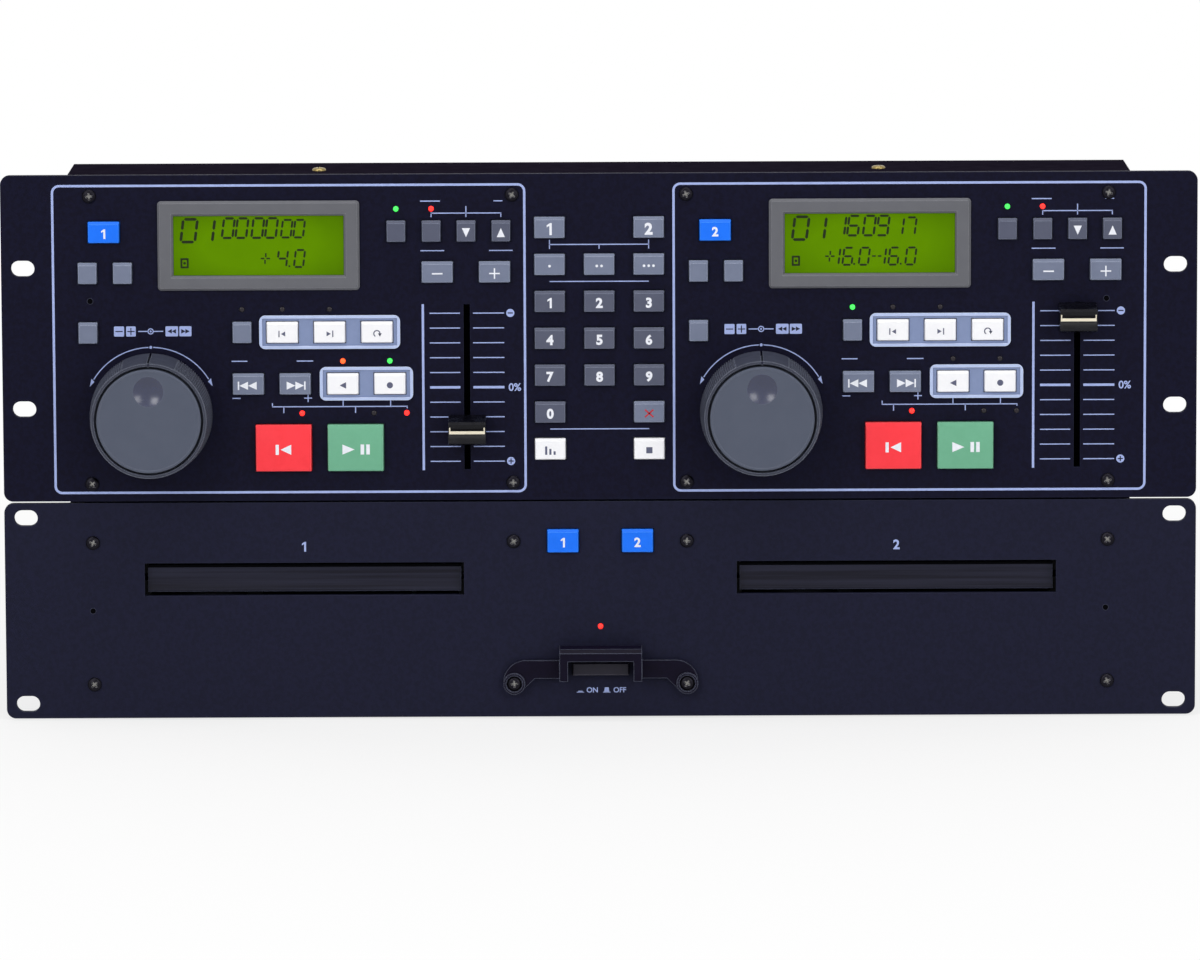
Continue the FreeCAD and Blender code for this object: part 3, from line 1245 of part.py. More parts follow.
def make_tray(deck):
    body = new_body(f"disc_tray_{deck}")
    plate = sketch_on(body, "plate", TRAY_BOTTOM, "XY_Plane")
    draw_box(plate, "-1 * dims.tray_half_width", "dims.tray_half_width", TRAY_PLATE_Y, TRAY_END)
    slab = pad(plate, "dims.tray_under + dims.tray_over", forward=True)
    tongues = sketch_on(body, "tongues", "dims.tray_row - dims.tray_tongue_thickness / 2", "XY_Plane")
    for side in (-1, 1):
        inner = f"{side} * (dims.tray_half_width - 1)"
        outer = f"{side} * (dims.tray_half_width + dims.tray_tongue)"
        draw_box(tongues, inner, outer, f"{TRAY_PLATE_Y} + dims.loader_front", TRAY_END)
    pad(tongues, "dims.tray_tongue_thickness", forward=True)
    fascia = sketch_on(body, "fascia", "dims.tray_setback")
    fascia_width = "(dims.tray_slot_width - 2 * dims.tray_front_gap)"
    fascia_height = "(dims.tray_slot_height - 2 * dims.tray_front_gap)"
    draw_rect(fascia, "0", "dims.tray_row", fascia_width, fascia_height)
    pad(fascia, "dims.tray_front_depth + 0.5")
    # its front is a shallow hollow from end to end, between two flat bands
    hollow = body.newObject("PartDesign::SubtractiveCylinder", body.Name + "_hollow")
    hollow.Placement.Rotation = FreeCAD.Rotation(Vector(0, 1, 0), 90)
    half = f"({fascia_height} / 2 - dims.tray_band)"
    radius = f"(({half}^2 + dims.tray_hollow^2) / (2 * dims.tray_hollow))"
    bind(hollow, Radius=radius, Height=f"{fascia_width} + 2")
    bind(hollow, **{"Placement.Base.x": f"-1 * {fascia_width} / 2 - 1",
                    "Placement.Base.y": f"dims.tray_setback + dims.tray_hollow - {radius}",
                    "Placement.Base.z": "dims.tray_row"})
    # a stepped well for the two sizes of disc
    for name, radius, depth in (("well", "dims.disc_radius", "dims.disc_depth"),
                                ("small_well", "dims.small_disc_radius",
                                 "(dims.disc_depth + dims.small_disc_depth)")):
        well = sketch_on(body, name, TRAY_TOP, "XY_Plane")
        draw_circle(well, "0", DISC_Y, radius)
        cut(well, depth)
    # the opening for the spindle and pickup runs out of the tray's back edge
    opening = sketch_on(body, "opening", TRAY_TOP, "XY_Plane")
    draw_box(opening, "-1 * dims.tray_opening", "dims.tray_opening", DISC_Y, f"{TRAY_END} + 5")
    cut(opening, "dims.tray_under + dims.tray_over + 5")
    round_end = sketch_on(body, "round_end", TRAY_TOP, "XY_Plane")
    draw_circle(round_end, "0", DISC_Y, "dims.tray_opening")
    cut(round_end, "dims.tray_under + dims.tray_over + 5")
    # the rack: a bar below the plate with its teeth towards the middle
    bar = sketch_on(body, "rack_bar", RACK_LOW, "XY_Plane")
    draw_box(bar, "dims.rack_x - dims.rack_back", "dims.rack_x + dims.gear_module",
             RACK_START, TRAY_END)
    pad(bar, "dims.rack_depth + 0.5", forward=True)
    # tooth spaces: one is centred beside the wheel when the tray is shut, and they run out of the
    # rack's back end
    before = f"floor((dims.gear_y - {RACK_START} - dims.gear_module) / {RACK_PITCH})"
    first = f"(dims.gear_y - {RACK_PITCH} * {before})"
    count = f"(floor(({TRAY_END} - {first}) / {RACK_PITCH}) + 2)"
    tip = "dims.rack_x + dims.gear_module"
    root = "dims.rack_x - 1.25 * dims.gear_module"
    slope = "tan(20)"
    half_tip = f"({RACK_PITCH} / 4 + dims.gear_backlash / 2 + dims.gear_module * {slope})"
    half_root = f"({RACK_PITCH} / 4 + dims.gear_backlash / 2 - 1.25 * dims.gear_module * {slope})"
    space = sketch_on(body, "tooth_space", RACK_LOW, "XY_Plane")
    draw_outline(space, [(f"{tip}", f"{first} - {half_tip}"), (f"{tip}", f"{first} + {half_tip}"),
                         (root, f"{first} + {half_root}"), (root, f"{first} - {half_root}")])
    tooth = cut(space, "dims.rack_depth - 0.3", forward=True)
    repeat([tooth], "Y_Axis", RACK_PITCH, count, "rack_teeth")
    place(body, x=LOADER_X[deck], z=PLAYER_Z)
    return body


# A flat on each side of the involute flank, at the root, pitch and tip circles.
def involute_half_angle(radius, pitch_radius, pressure, half_at_pitch):
    base = pitch_radius * math.cos(pressure)

    def unwound(r):
        turn_angle = math.acos(min(1.0, base / r))
        return math.tan(turn_angle) - turn_angle
    return half_at_pitch + unwound(pitch_radius) - unwound(max(radius, base))


# The toothed wheel is drawn once from the sheet's module and tooth count.
def gear_face(module, teeth, backlash):
    pitch_radius = module * teeth / 2
    half_at_pitch = math.pi / (2 * teeth) - backlash / (4 * pitch_radius)
    radii = [pitch_radius - 1.25 * module, pitch_radius - 0.4 * module, pitch_radius + 0.35 * module,
             pitch_radius + module]
    flank = [(r, involute_half_angle(r, pitch_radius, math.radians(20), half_at_pitch)) for r in radii]
    corners = []
    for tooth in range(teeth):
        middle = math.pi + 2 * math.pi * tooth / teeth
        around = [(r, middle - a) for r, a in flank] + [(r, middle + a) for r, a in reversed(flank)]
        corners += [Vector(r * math.cos(a), r * math.sin(a), 0) for r, a in around]
    return Part.Face(Part.makePolygon(corners + corners[:1]))


def make_gear(deck):
    teeth = gear_face(value("dims.gear_module"), int(value("dims.gear_teeth")),
                      value("dims.gear_backlash"))
    height = value("dims.gear_width")
    post = value("dims.gear_post + dims.fit")
    wheel_top = value("dims.gear_wheel_drop")
    solid = teeth.extrude(Vector(0, 0, height))
    wheel = Part.makeCylinder(value("dims.gear_wheel_radius"), wheel_top, Vector(0, 0, -wheel_top))
    solid = solid.fuse(wheel)
    solid = solid.cut(Part.makeCylinder(post, height + wheel_top + 2, Vector(0, 0, -wheel_top - 1)))
    gear = doc.addObject("Part::Feature", f"loading_gear_{deck}")
    gear.Shape = solid
    sub_part(gear, f"loading_gear_{deck}")
    place(gear, x=f"({LOADER_X[deck]} + {GEAR_X})", y="dims.gear_y",
          z=f"{PLAYER_Z} + {RACK_LOW} - dims.wheel_gap")


RAIL_IN = "(dims.tray_half_width + dims.slide_gap)"
RAIL_OUT = f"({RAIL_IN} + dims.rail_width)"
LOADER_LOW = "(dims.tray_row - dims.loader_under)"
LOADER_FLOOR_TOP = f"({LOADER_LOW} + dims.loader_floor)"
GEAR_LOW = f"({RACK_LOW} - dims.wheel_gap - dims.gear_wheel_drop)"
WORM_X = f"({GEAR_X} + dims.gear_wheel_radius + dims.worm_gap + dims.worm_radius)"
WORM_Z = f"({GEAR_LOW} + dims.gear_wheel_drop / 2)"
MOTOR_Y = "(dims.gear_y + dims.loading_motor_gap)"
PIVOT_Z = "(dims.tray_row - dims.traverse_under + dims.traverse_thickness / 2)"


def make_loader(deck):
    body = doc.addObject("PartDesign::Body", f"loader_{deck}")
    base = sketch_on(body, "base", LOADER_LOW, "XY_Plane")
    end = "(dims.loader_front + dims.loader_length)"
    draw_box(base, "-1 * " + RAIL_OUT, RAIL_OUT, "dims.loader_front", end)
    pad(base, "dims.rail_height", forward=True)
    # hollow out between the side rails, down to the floor
    room = sketch_on(body, "room", f"{LOADER_LOW} + dims.rail_height", "XY_Plane")
    draw_box(room, "-1 * " + RAIL_IN, RAIL_IN, "dims.loader_front - 1", f"{end} + 1")
    cut(room, "dims.rail_height - dims.loader_floor")
    # grooves for the tray's tongues, open at the front and back
    groove = sketch_on(body, "groove", "dims.loader_front - 1")
    for side in (-1, 1):
        draw_box(groove, f"{side} * ({RAIL_IN} - 1)", f"{side} * ({RAIL_IN} + dims.tray_tongue + 0.2)",
                 "dims.tray_row - dims.tray_tongue_thickness / 2 - dims.slide_gap",
                 "dims.tray_row + dims.tray_tongue_thickness / 2 + dims.slide_gap")
    cut(groove, "dims.loader_length + 2")
    # the traverse sits in a window of the floor
    window = sketch_on(body, "window", LOADER_FLOOR_TOP, "XY_Plane")
    draw_box(window, "-1 * (dims.traverse_half_width + dims.window_gap)",
             "dims.traverse_half_width + dims.window_gap", "dims.traverse_front - dims.window_front",
             "dims.traverse_pivot + dims.window_back")
    cut(window, "dims.loader_floor + 1")
    # post for the toothed wheel, with a shoulder under it
    shoulder = sketch_on(body, "shoulder", f"{LOADER_FLOOR_TOP} - 0.5", "XY_Plane")
    draw_circle(shoulder, GEAR_X, "dims.gear_y", "dims.gear_post + dims.shoulder")
    pad(shoulder, f"{GEAR_LOW} - {LOADER_FLOOR_TOP} + 0.5 - dims.key_play", forward=True)
    post = sketch_on(body, "post", f"{LOADER_FLOOR_TOP} - 0.5", "XY_Plane")
    draw_circle(post, GEAR_X, "dims.gear_y", "dims.gear_post")
    pad(post, f"{RACK_LOW} + dims.gear_width - {LOADER_FLOOR_TOP} + 0.5", forward=True)
    cradle = sketch_on(body, "cradle", f"{LOADER_FLOOR_TOP} - 0.5", "XY_Plane")
    draw_box(cradle, f"{WORM_X} - dims.loading_motor_radius", f"{WORM_X} + dims.loading_motor_radius",
             f"{MOTOR_Y} + 1", f"{MOTOR_Y} + dims.loading_motor_length - 1")
    pad(cradle, f"{WORM_Z} - dims.loading_motor_radius - {LOADER_FLOOR_TOP} + 0.5", forward=True)
    # ears for the traverse's hinge pins, either side of the window
    ears = sketch_on(body, "ears", LOADER_FLOOR_TOP, "XY_Plane")
    for side in (-1, 1):
        draw_box(ears, f"{side} * (dims.traverse_half_width + dims.ear_gap)",
                 f"{side} * (dims.traverse_half_width + dims.ear_gap + dims.ear_thickness)",
                 "dims.traverse_pivot - dims.ear_length / 2", "dims.traverse_pivot + dims.ear_length / 2")
    pad(ears, f"{PIVOT_Z} - {LOADER_FLOOR_TOP} + dims.pivot_radius + 2", forward=True)
    bores = sketch_on(body, "bores", "-1 * (dims.traverse_half_width + 6)", "YZ_Plane")
    draw_circle(bores, "dims.traverse_pivot", PIVOT_Z, "dims.pivot_radius + dims.fit")
    cut(bores, "2 * dims.traverse_half_width + 12", forward=True)
    # legs down to the chassis floor
    legs = sketch_on(body, "legs", FLOOR, "XY_Plane")
    for side in (-1, 1):
        for y in ("(dims.loader_front + dims.leg_margin)", f"({end} - dims.leg_margin)"):
            draw_rect(legs, f"{side} * ({RAIL_OUT} - dims.leg_radius)", y, "2 * dims.leg_radius",
                      "2 * dims.leg_radius")
    pad(legs, f"{LOADER_LOW} - {FLOOR} + 0.5", forward=True)
    return body


def make_traverse(deck):
    body = new_body(f"traverse_frame_{deck}")
    plate = sketch_on(body, "plate", "dims.tray_row - dims.traverse_under", "XY_Plane")
    draw_box(plate, "-1 * dims.traverse_half_width", "dims.traverse_half_width", "dims.traverse_front",
             "dims.traverse_pivot + 3")
    pad(plate, "dims.traverse_thickness", forward=True)
    blocks = sketch_on(body, "rod_blocks", "dims.tray_row - dims.traverse_under", "XY_Plane")
    for side in (-1, 1):
        for y in (ROD_START, ROD_END):
            draw_rect(blocks, f"{side} * dims.rod_spread", y, "7", "5")
    pad(blocks, "dims.traverse_under - dims.rod_under + dims.rod_radius + 1.5", forward=True)
    # openings for the spindle motor and the pickup
    holes = sketch_on(body, "holes", "dims.tray_row - dims.traverse_under", "XY_Plane")
    draw_circle(holes, "0", DISC_Y, "dims.motor_boss + dims.fit")
    cut(holes)
    slot = sketch_on(body, "slot", "dims.tray_row - dims.traverse_under", "XY_Plane")
    draw_box(slot, "-1 * (dims.rod_spread - 5)", "dims.rod_spread - 5",
             "dims.disc_distance + dims.motor_radius + 2", f"{ROD_END} - 6")
    cut(slot)
    rods = sketch_on(body, "rod_bores", ROD_START + " - 6")
    for side in (-1, 1):
        draw_circle(rods, f"{side} * dims.rod_spread", ROD_Z, "dims.rod_radius")
    cut(rods, f"{ROD_END} - {ROD_START} + 12")
    # hinge pins at the back corners
    pins = sketch_on(body, "pins", "-1 * (dims.traverse_half_width + 4.6)", "YZ_Plane")
    draw_circle(pins, "dims.traverse_pivot", PIVOT_Z, "dims.pivot_radius")
    pad(pins, "2 * dims.traverse_half_width + 9.2", forward=True)
    place(body, x=LOADER_X[deck], z=PLAYER_Z)


ROD_Z = "(dims.tray_row - dims.rod_under)"
ROD_START = "(dims.disc_distance + dims.pickup_start - dims.pickup_length / 2 - 5)"
ROD_END = ("(dims.disc_distance + dims.pickup_start + dims.pickup_travel"
           " + dims.pickup_length / 2 + 5)")


# The spindle motor hangs in the traverse, with the guide rods and the sled's own motor.
def make_traverse_drive(deck):
    top = "(dims.tray_row - dims.traverse_under)"
    x = LOADER_X[deck]
    can = rod(f"motor_can_{deck}", x, DISC_Y, f"{top} - dims.motor_height", "dims.motor_radius",
              "dims.motor_height", "z")
    boss = rod(f"motor_boss_{deck}", x, DISC_Y, f"{top} - 0.5", "dims.motor_boss",
               "dims.traverse_thickness + 1.5", "z")
    bush = rod(f"motor_bush_{deck}", x, DISC_Y, f"{top} - dims.motor_height + 2",
               "dims.spindle_shaft + dims.fit", "dims.motor_height + 10", "z")
    motor = without(f"spindle_motor_{deck}", joined(f"motor_body_{deck}", [can, boss]), [bush])
    rods = [rod(f"guide_rod_{deck}_{side}", f"({x} + {side} * dims.rod_spread)", f"{ROD_START} - 4",
                ROD_Z, "dims.rod_radius", f"{ROD_END} - {ROD_START} + 8") for side in (-1, 1)]
    sled_motor = rod(f"sled_motor_{deck}", f"({x} + dims.sled_motor_x)", "dims.disc_distance",
                     f"{top} + dims.traverse_thickness + dims.sled_motor_radius",
                     "dims.sled_motor_radius", "dims.sled_motor_length")
    name = f"traverse_drive_{deck}"
    place(sub_part(group_of(name, [motor, sled_motor] + rods), name), z=PLAYER_Z)


def make_turntable(deck):
    body = new_body(f"turntable_{deck}")
    profile = sketch_on(body, "profile", role="XZ_Plane")
    seat = "dims.turntable_lift"
    under = "(dims.turntable_lift - dims.turntable_thickness)"
    hub = "(dims.turntable_lift - dims.turntable_thickness - dims.hub_depth)"
    foot = "(2.5 - dims.traverse_under - dims.motor_height)"
    draw_outline(profile, [
        ("0", foot), ("dims.spindle_shaft", foot), ("dims.spindle_shaft", hub), ("dims.hub_radius", hub),
        ("dims.hub_radius", under),
        ("dims.turntable_radius", under), ("dims.turntable_radius", seat),
        ("dims.spindle_nose", seat), ("dims.spindle_nose", f"{seat} + dims.nose_height / 2"),
        ("dims.spindle_nose - 2", f"{seat} + dims.nose_height"), ("0", f"{seat} + dims.nose_height")])
    turn(profile, "V_Axis")
    place(body, x=LOADER_X[deck], y=DISC_Y, z=f"{PLAYER_Z} + dims.tray_row")


def make_pickup(deck):
    body = new_body(f"pickup_{deck}")
    low = "(dims.tray_row - dims.rod_under - dims.rod_radius - dims.pickup_wall)"
    top = "(dims.tray_row - dims.tray_under - 2 * dims.slide_gap)"
    start = "(dims.disc_distance + dims.pickup_start - dims.pickup_length / 2)"
    sled = sketch_on(body, "sled", low, "XY_Plane")
    draw_box(sled, "-1 * dims.pickup_width / 2", "dims.pickup_width / 2", start,
             f"{start} + dims.pickup_length")
    last = pad(sled, f"{top} - {low}", forward=True)
    soften(last, "Fillet", "2", lambda edge: runs_along(edge, "z"))
    bores = sketch_on(body, "bores", f"{start} - 1")
    for side in (-1, 1):
        draw_circle(bores, f"{side} * dims.rod_spread", ROD_Z, "dims.rod_radius + dims.fit")
    cut(bores, "dims.pickup_length + 2")
    lens = sketch_on(body, "lens", f"{top} - 0.5", "XY_Plane")
    draw_circle(lens, "0", f"{start} + dims.pickup_length / 2", "2 * dims.lens_radius")
    pad(lens, "dims.tray_under - 0.5", forward=True)
    place(body, x=LOADER_X[deck], z=PLAYER_Z)


loaders = []
bridges = []
motors = []
for deck, shift in LOADER_X.items():
    make_tray(deck)
    make_gear(deck)
    loaders.append(make_loader(deck))
    loaders[-1].setExpression("Placement.Base.x", shift)
    make_traverse(deck)
    make_traverse_drive(deck)
    make_turntable(deck)
    make_pickup(deck)
    # a steel bridge over the rails holds the floating clamp puck above the spindle
    rail_top = f"({LOADER_LOW} + dims.rail_height)"
    span = block(f"bridge_span_{deck}", shift, f"{DISC_Y} - dims.bridge_depth / 2",
                 f"{rail_top} + dims.sheet_steel / 2", f"2 * {RAIL_OUT}", "dims.bridge_depth",
                 "dims.sheet_steel")
    hole = peg_hole(f"bridge_hole_{deck}", shift, DISC_Y, f"{rail_top} - 1",
                    "dims.puck_neck + dims.slide_gap", "dims.sheet_steel + 2", "z", 16)
    bridges.append(without(f"clamp_bridge_{deck}", span, [hole]))
    nose_top = "(dims.tray_row + dims.turntable_lift + dims.nose_height)"
    disc = peg(f"puck_disc_{deck}", shift, DISC_Y, f"{nose_top} + dims.slide_gap", "dims.puck_radius",
               f"{rail_top} - {nose_top} - 2 * dims.slide_gap", "z", 16)
    neck = peg(f"puck_neck_{deck}", shift, DISC_Y, f"{rail_top} - 1", "dims.puck_neck",
               "dims.sheet_steel + 1.3", "z", 16)
    flange = peg(f"puck_flange_{deck}", shift, DISC_Y, f"{rail_top} + dims.sheet_steel + dims.key_play",
                 "dims.puck_radius - 2", "1.5", "z", 16)
    bridges.append(joined(f"clamp_puck_{deck}", [disc, neck, flange]))
    # the loading motor lies in the frame's cradle, its worm beside the wheel's lower rim
    can = rod(f"loading_can_{deck}", f"({shift} + {WORM_X})", MOTOR_Y, WORM_Z,
              "dims.loading_motor_radius", "dims.loading_motor_length")
    worm = rod(f"loading_worm_{deck}", f"({shift} + {WORM_X})",
               f"{MOTOR_Y} - dims.loading_motor_gap - 8", WORM_Z, "dims.worm_radius",
               "dims.loading_motor_gap + 9")
    motors.append(joined(f"loading_motor_{deck}", [can, worm]))
place(sub_part(group_of("loader_frames", loaders), "loader_frames"), z=PLAYER_Z)
place(sub_part(group_of("clamp_bridges", bridges), "clamp_bridges"), z=PLAYER_Z)
place(sub_part(group_of("loading_motors", motors), "loading_motors"), z=PLAYER_Z)

# ---------------------------------------------------------------------------------------------
# Player unit: power supply, boards and rear sockets
# ---------------------------------------------------------------------------------------------
def make_transformer():
    middle_y = "(dims.panel_thickness + dims.chassis_depth * 0.62)"
    core_z = f"{FLOOR} + dims.core_height / 2"
    core = block("transformer_core", "0", f"{middle_y} - dims.core_depth / 2", core_z, "dims.core_width",
                 "dims.core_depth", "dims.core_height")
    coil = block("transformer_coil", "0", f"{middle_y} - dims.core_depth / 2 - dims.coil_reach",
                 core_z, "dims.core_width * 0.6",
                 "dims.core_depth + 2 * dims.coil_reach", "dims.core_height * 0.68")
    feet_plate = block("transformer_foot", "0", f"{middle_y} - dims.core_depth / 4",
                       f"{FLOOR} + dims.sheet_steel / 2", "dims.core_width + 18", "dims.core_depth / 2",
                       "dims.sheet_steel")
    place(sub_part(joined("mains_transformer", [core, coil, feet_plate]), "mains_transformer"), z=PLAYER_Z)


# The main board lies on pillars over the chassis floor; a small board stands behind the panel.
def make_player_board():
    pieces = []
    board_z = f"({FLOOR} + dims.pillar_height)"
    for side in (-1, 1):
        x = f"({side} * dims.loader_pitch / 2)"
        middle_y = "(dims.panel_thickness + dims.chassis_depth - 15 - dims.board_length / 2)"
        start = f"({middle_y} - dims.board_length / 2)"
        sheet_z = f"{board_z} + dims.board_thickness / 2"
        sheet_piece = block(f"main_board_{side}", x, start, sheet_z, "dims.board_width",
                            "dims.board_length", "dims.board_thickness")
        parts = [sheet_piece]
        for i in (-1, 1):
            for y in (f"{start} + 5", f"{start} + dims.board_length - 5"):
                parts.append(peg(f"board_pillar_{side}_{i}", f"({x} + {i} * (dims.board_width / 2 - 5))", y,
                                 FLOOR, "2.5", "dims.pillar_height", "z"))
        top = f"({board_z} + dims.board_thickness)"
        parts.append(block(f"processor_{side}", f"({x} - 12)", f"{start} + 20", f"{top} + 1.2", "20", "20",
                           "2.4"))
        parts.append(peg(f"capacitor_{side}", f"({x} + 20)", f"{start} + 20", top, "6", "11", "z", 12))
        parts.append(block(f"header_{side}", f"({x} + 6)", f"{start} + 48", f"{top} + 4", "36", "6", "8"))
        pieces.append(joined(f"main_board_assembly_{side}", parts))
    front_y = "(dims.panel_thickness + dims.front_board_gap)"
    front = block("front_board", "0", front_y, "dims.player_height / 2", "84", "dims.board_thickness",
                  "dims.player_height - 14")
    pieces.append(front)
    pieces += [block(f"front_post_{side}", f"({side} * 38)", "dims.panel_thickness + dims.sheet_steel",
                     "dims.player_height - 20", "5", "dims.front_board_gap - dims.sheet_steel", "5")
               for side in (-1, 1)]
    for i, (x, z) in enumerate(PLAYER_KEYS):
        pieces.append(block(f"open_switch_{i}", x, f"({front_y} - dims.switch_size / 2)", z,
                            "dims.switch_size", "dims.switch_size / 2", "dims.switch_size"))
    switch_start = f"({POWER_LIP_Y} + dims.power_flange + 2 * dims.power_travel + dims.key_play)"
    pieces.append(block("power_switch_body", "0", switch_start, "dims.power_row", "16",
                        f"{front_y} - {switch_start}", "12"))
    place(sub_part(group_of("player_board", pieces), "player_board"), z=PLAYER_Z)


# Phono jacks and round control sockets: sleeves with a blind bore, seated in the rear walls.
def make_sockets():
    pieces = []
    for i, (x, z) in enumerate(JACKS):
        barrel = peg(f"jack_barrel_{i}", x, f"{CHASSIS_BACK} - dims.jack_root", z, "dims.jack_radius",
                     "dims.jack_reach + dims.jack_root")
        collar = peg(f"jack_collar_{i}", x, CHASSIS_BACK, z, "dims.jack_radius + dims.jack_collar",
                     "dims.sheet_steel")
        bore = peg(f"jack_bore_{i}", x, f"{CHASSIS_BACK} + 1", z, "dims.jack_bore", "dims.jack_reach")
        pieces.append(without(f"jack_{i}", joined(f"jack_body_{i}", [barrel, collar]), [bore]))
    case_back = "(dims.panel_thickness + dims.case_depth)"
    lift = "(dims.player_height + dims.unit_gap)"
    spots = [(x, CHASSIS_BACK, z) for x, z in DIN_SOCKETS]
    spots += [(f"({side} * dims.din_spread)", case_back, f"(dims.din_row + {lift})") for side in (-1, 1)]
    for i, (x, y, z) in enumerate(spots):
        body = peg(f"din_body_{i}", x, f"{y} - dims.din_root", z, "dims.din_radius",
                   "dims.din_root + dims.din_reach", sides=12)
        flange = peg(f"din_flange_{i}", x, y, z, "dims.din_radius + dims.din_reach", "dims.sheet_steel",
                     sides=12)
        bore = peg(f"din_bore_{i}", x, f"{y} - dims.din_depth", z, "dims.din_radius - dims.din_wall",
                   "dims.din_root", sides=12)
        pin = peg(f"din_key_{i}", x, f"{y} - dims.din_depth - 0.5", z, "dims.din_pin", "dims.din_depth",
                  sides=6)
        pieces.append(joined(f"din_{i}", [without(f"din_shell_{i}", joined(f"din_solid_{i}", [body, flange]),
                                                  [bore]), pin]))
    place(sub_part(group_of("rear_connectors", pieces), "rear_connectors"), z=PLAYER_Z)


# The mains inlet: a flanged well with cut lower corners and three blades.
def make_inlet():
    body = new_body("mains_inlet")
    back = CHASSIS_BACK
    flange = sketch_on(body, "flange", back)
    draw_rect(flange, "dims.inlet_x", "dims.inlet_row", "dims.inlet_width + 2 * dims.inlet_ear",
              "dims.inlet_height + 2 * dims.inlet_brow")
    pad(flange, "dims.inlet_flange")
    well = sketch_on(body, "well", back)
    draw_rect(well, "dims.inlet_x", "dims.inlet_row", "dims.inlet_width + 2 * dims.inlet_wall",
              "dims.inlet_height + 2 * dims.inlet_wall")
    pad(well, "dims.inlet_depth", forward=True)
    room = sketch_on(body, "room", f"{back} + dims.inlet_flange")
    left = "(dims.inlet_x - dims.inlet_width / 2)"
    right = "(dims.inlet_x + dims.inlet_width / 2)"
    low = "(dims.inlet_row - dims.inlet_height / 2)"
    high = "(dims.inlet_row + dims.inlet_height / 2)"
    corner = "dims.inlet_corner"
    draw_outline(room, [(f"{left} + {corner}", low), (f"{right} - {corner}", low),
                        (right, f"{low} + {corner}"), (right, high), (left, high),
                        (left, f"{low} + {corner}")])
    cut(room, "dims.inlet_depth", forward=True)
    blades = sketch_on(body, "blades", f"{back} + dims.inlet_flange - dims.inlet_depth - 0.5")
    for side, rise in ((-1, "-1 * dims.blade_lift"), (0, "dims.blade_drop"), (1, "-1 * dims.blade_lift")):
        draw_rect(blades, f"(dims.inlet_x + {side} * dims.blade_pitch)", f"dims.inlet_row + {rise}",
                  "dims.blade_thickness", "dims.blade_height")
    pad(blades, "dims.inlet_depth - dims.blade_set")
    place(body, z=PLAYER_Z)


make_transformer()
make_player_board()
make_sockets()
make_inlet()

# ---------------------------------------------------------------------------------------------
# Checks, then one STEP file for each sub-part
# ---------------------------------------------------------------------------------------------
doc.recompute()
for thing in doc.Objects:
    if "Invalid" in thing.State or "Error" in thing.State:
        raise RuntimeError("failed to build: " + thing.Label)
for thing in made:
    if thing.Shape.isNull() or not thing.Shape.isValid():
        raise RuntimeError("bad shape: " + thing.Label)
os.makedirs("parts", exist_ok=True)
for thing in made:
    thing.Shape.exportStep(os.path.join("parts", thing.Label + ".step"))
print("wrote", len(made), "sub-parts")
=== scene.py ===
import math

import bmesh
import bpy
from mathutils import Matrix, Vector


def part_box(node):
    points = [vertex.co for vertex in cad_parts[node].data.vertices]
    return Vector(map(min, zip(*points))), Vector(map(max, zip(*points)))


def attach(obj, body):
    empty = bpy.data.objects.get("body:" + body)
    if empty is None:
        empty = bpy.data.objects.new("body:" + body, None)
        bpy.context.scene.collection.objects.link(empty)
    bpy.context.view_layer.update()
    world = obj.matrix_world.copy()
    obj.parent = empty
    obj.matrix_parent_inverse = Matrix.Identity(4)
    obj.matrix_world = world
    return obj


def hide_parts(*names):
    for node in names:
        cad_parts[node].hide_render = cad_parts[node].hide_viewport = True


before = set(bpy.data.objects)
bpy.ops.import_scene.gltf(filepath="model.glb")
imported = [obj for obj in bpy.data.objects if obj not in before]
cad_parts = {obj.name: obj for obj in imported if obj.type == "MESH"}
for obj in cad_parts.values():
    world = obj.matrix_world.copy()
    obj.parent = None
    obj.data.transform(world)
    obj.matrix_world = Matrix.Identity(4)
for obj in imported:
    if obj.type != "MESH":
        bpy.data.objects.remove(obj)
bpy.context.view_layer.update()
mm = 0.001
print("frame loaded")


def hexColour(code):  # sRGB hex to the linear values that shaders use
    def linear(part):
        share = int(part, 16) / 255
        return share / 12.92 if share <= 0.04045 else ((share + 0.055) / 1.055) ** 2.4
    return (linear(code[1:3]), linear(code[3:5]), linear(code[5:7]), 1.0)


# Mesh tools: everything is in millimetres until it becomes a mesh
def roundedOutline(x, z, width, height, radius, steps=4):
    corners = [(1, 1, 0), (-1, 1, 90), (-1, -1, 180), (1, -1, 270)]
    outline = []
    for sideX, sideZ, start in corners:
        centreX = x + sideX * (width / 2 - radius)
        centreZ = z + sideZ * (height / 2 - radius)
        for step in range(steps + 1):
            angle = math.radians(start + 90 * step / steps)
            outline.append((centreX + radius * math.cos(angle), centreZ + radius * math.sin(angle)))
    return outline


def circleOutline(x, z, radius, steps=32):
    return [(x + radius * math.cos(2 * math.pi * i / steps), z + radius * math.sin(2 * math.pi * i / steps))
            for i in range(steps)]


def atDepth(outline, y):
    return [(x, y, z) for x, z in outline]


def loft(shape, loops, closed=True):
    rows = [[shape.verts.new(Vector(point) * mm) for point in loop] for loop in loops]
    for near, far in zip(rows, rows[1:]):
        for i in range(len(near)):
            j = (i + 1) % len(near)
            shape.faces.new((near[i], near[j], far[j], far[i]))
    if closed:
        shape.faces.new(rows[0][::-1])
        shape.faces.new(rows[-1])


def loftRing(shape, loops):
    loft(shape, loops + loops[:1], closed=False)


def box(shape, low, high):
    outline = [(low[0], low[2]), (high[0], low[2]), (high[0], high[2]), (low[0], high[2])]
    loft(shape, [atDepth(outline, low[1]), atDepth(outline, high[1])])


def smooth(mesh, sharpAngle):
    for polygon in mesh.polygons:
        polygon.use_smooth = True
    mesh.set_sharp_from_angle(angle=math.radians(sharpAngle))


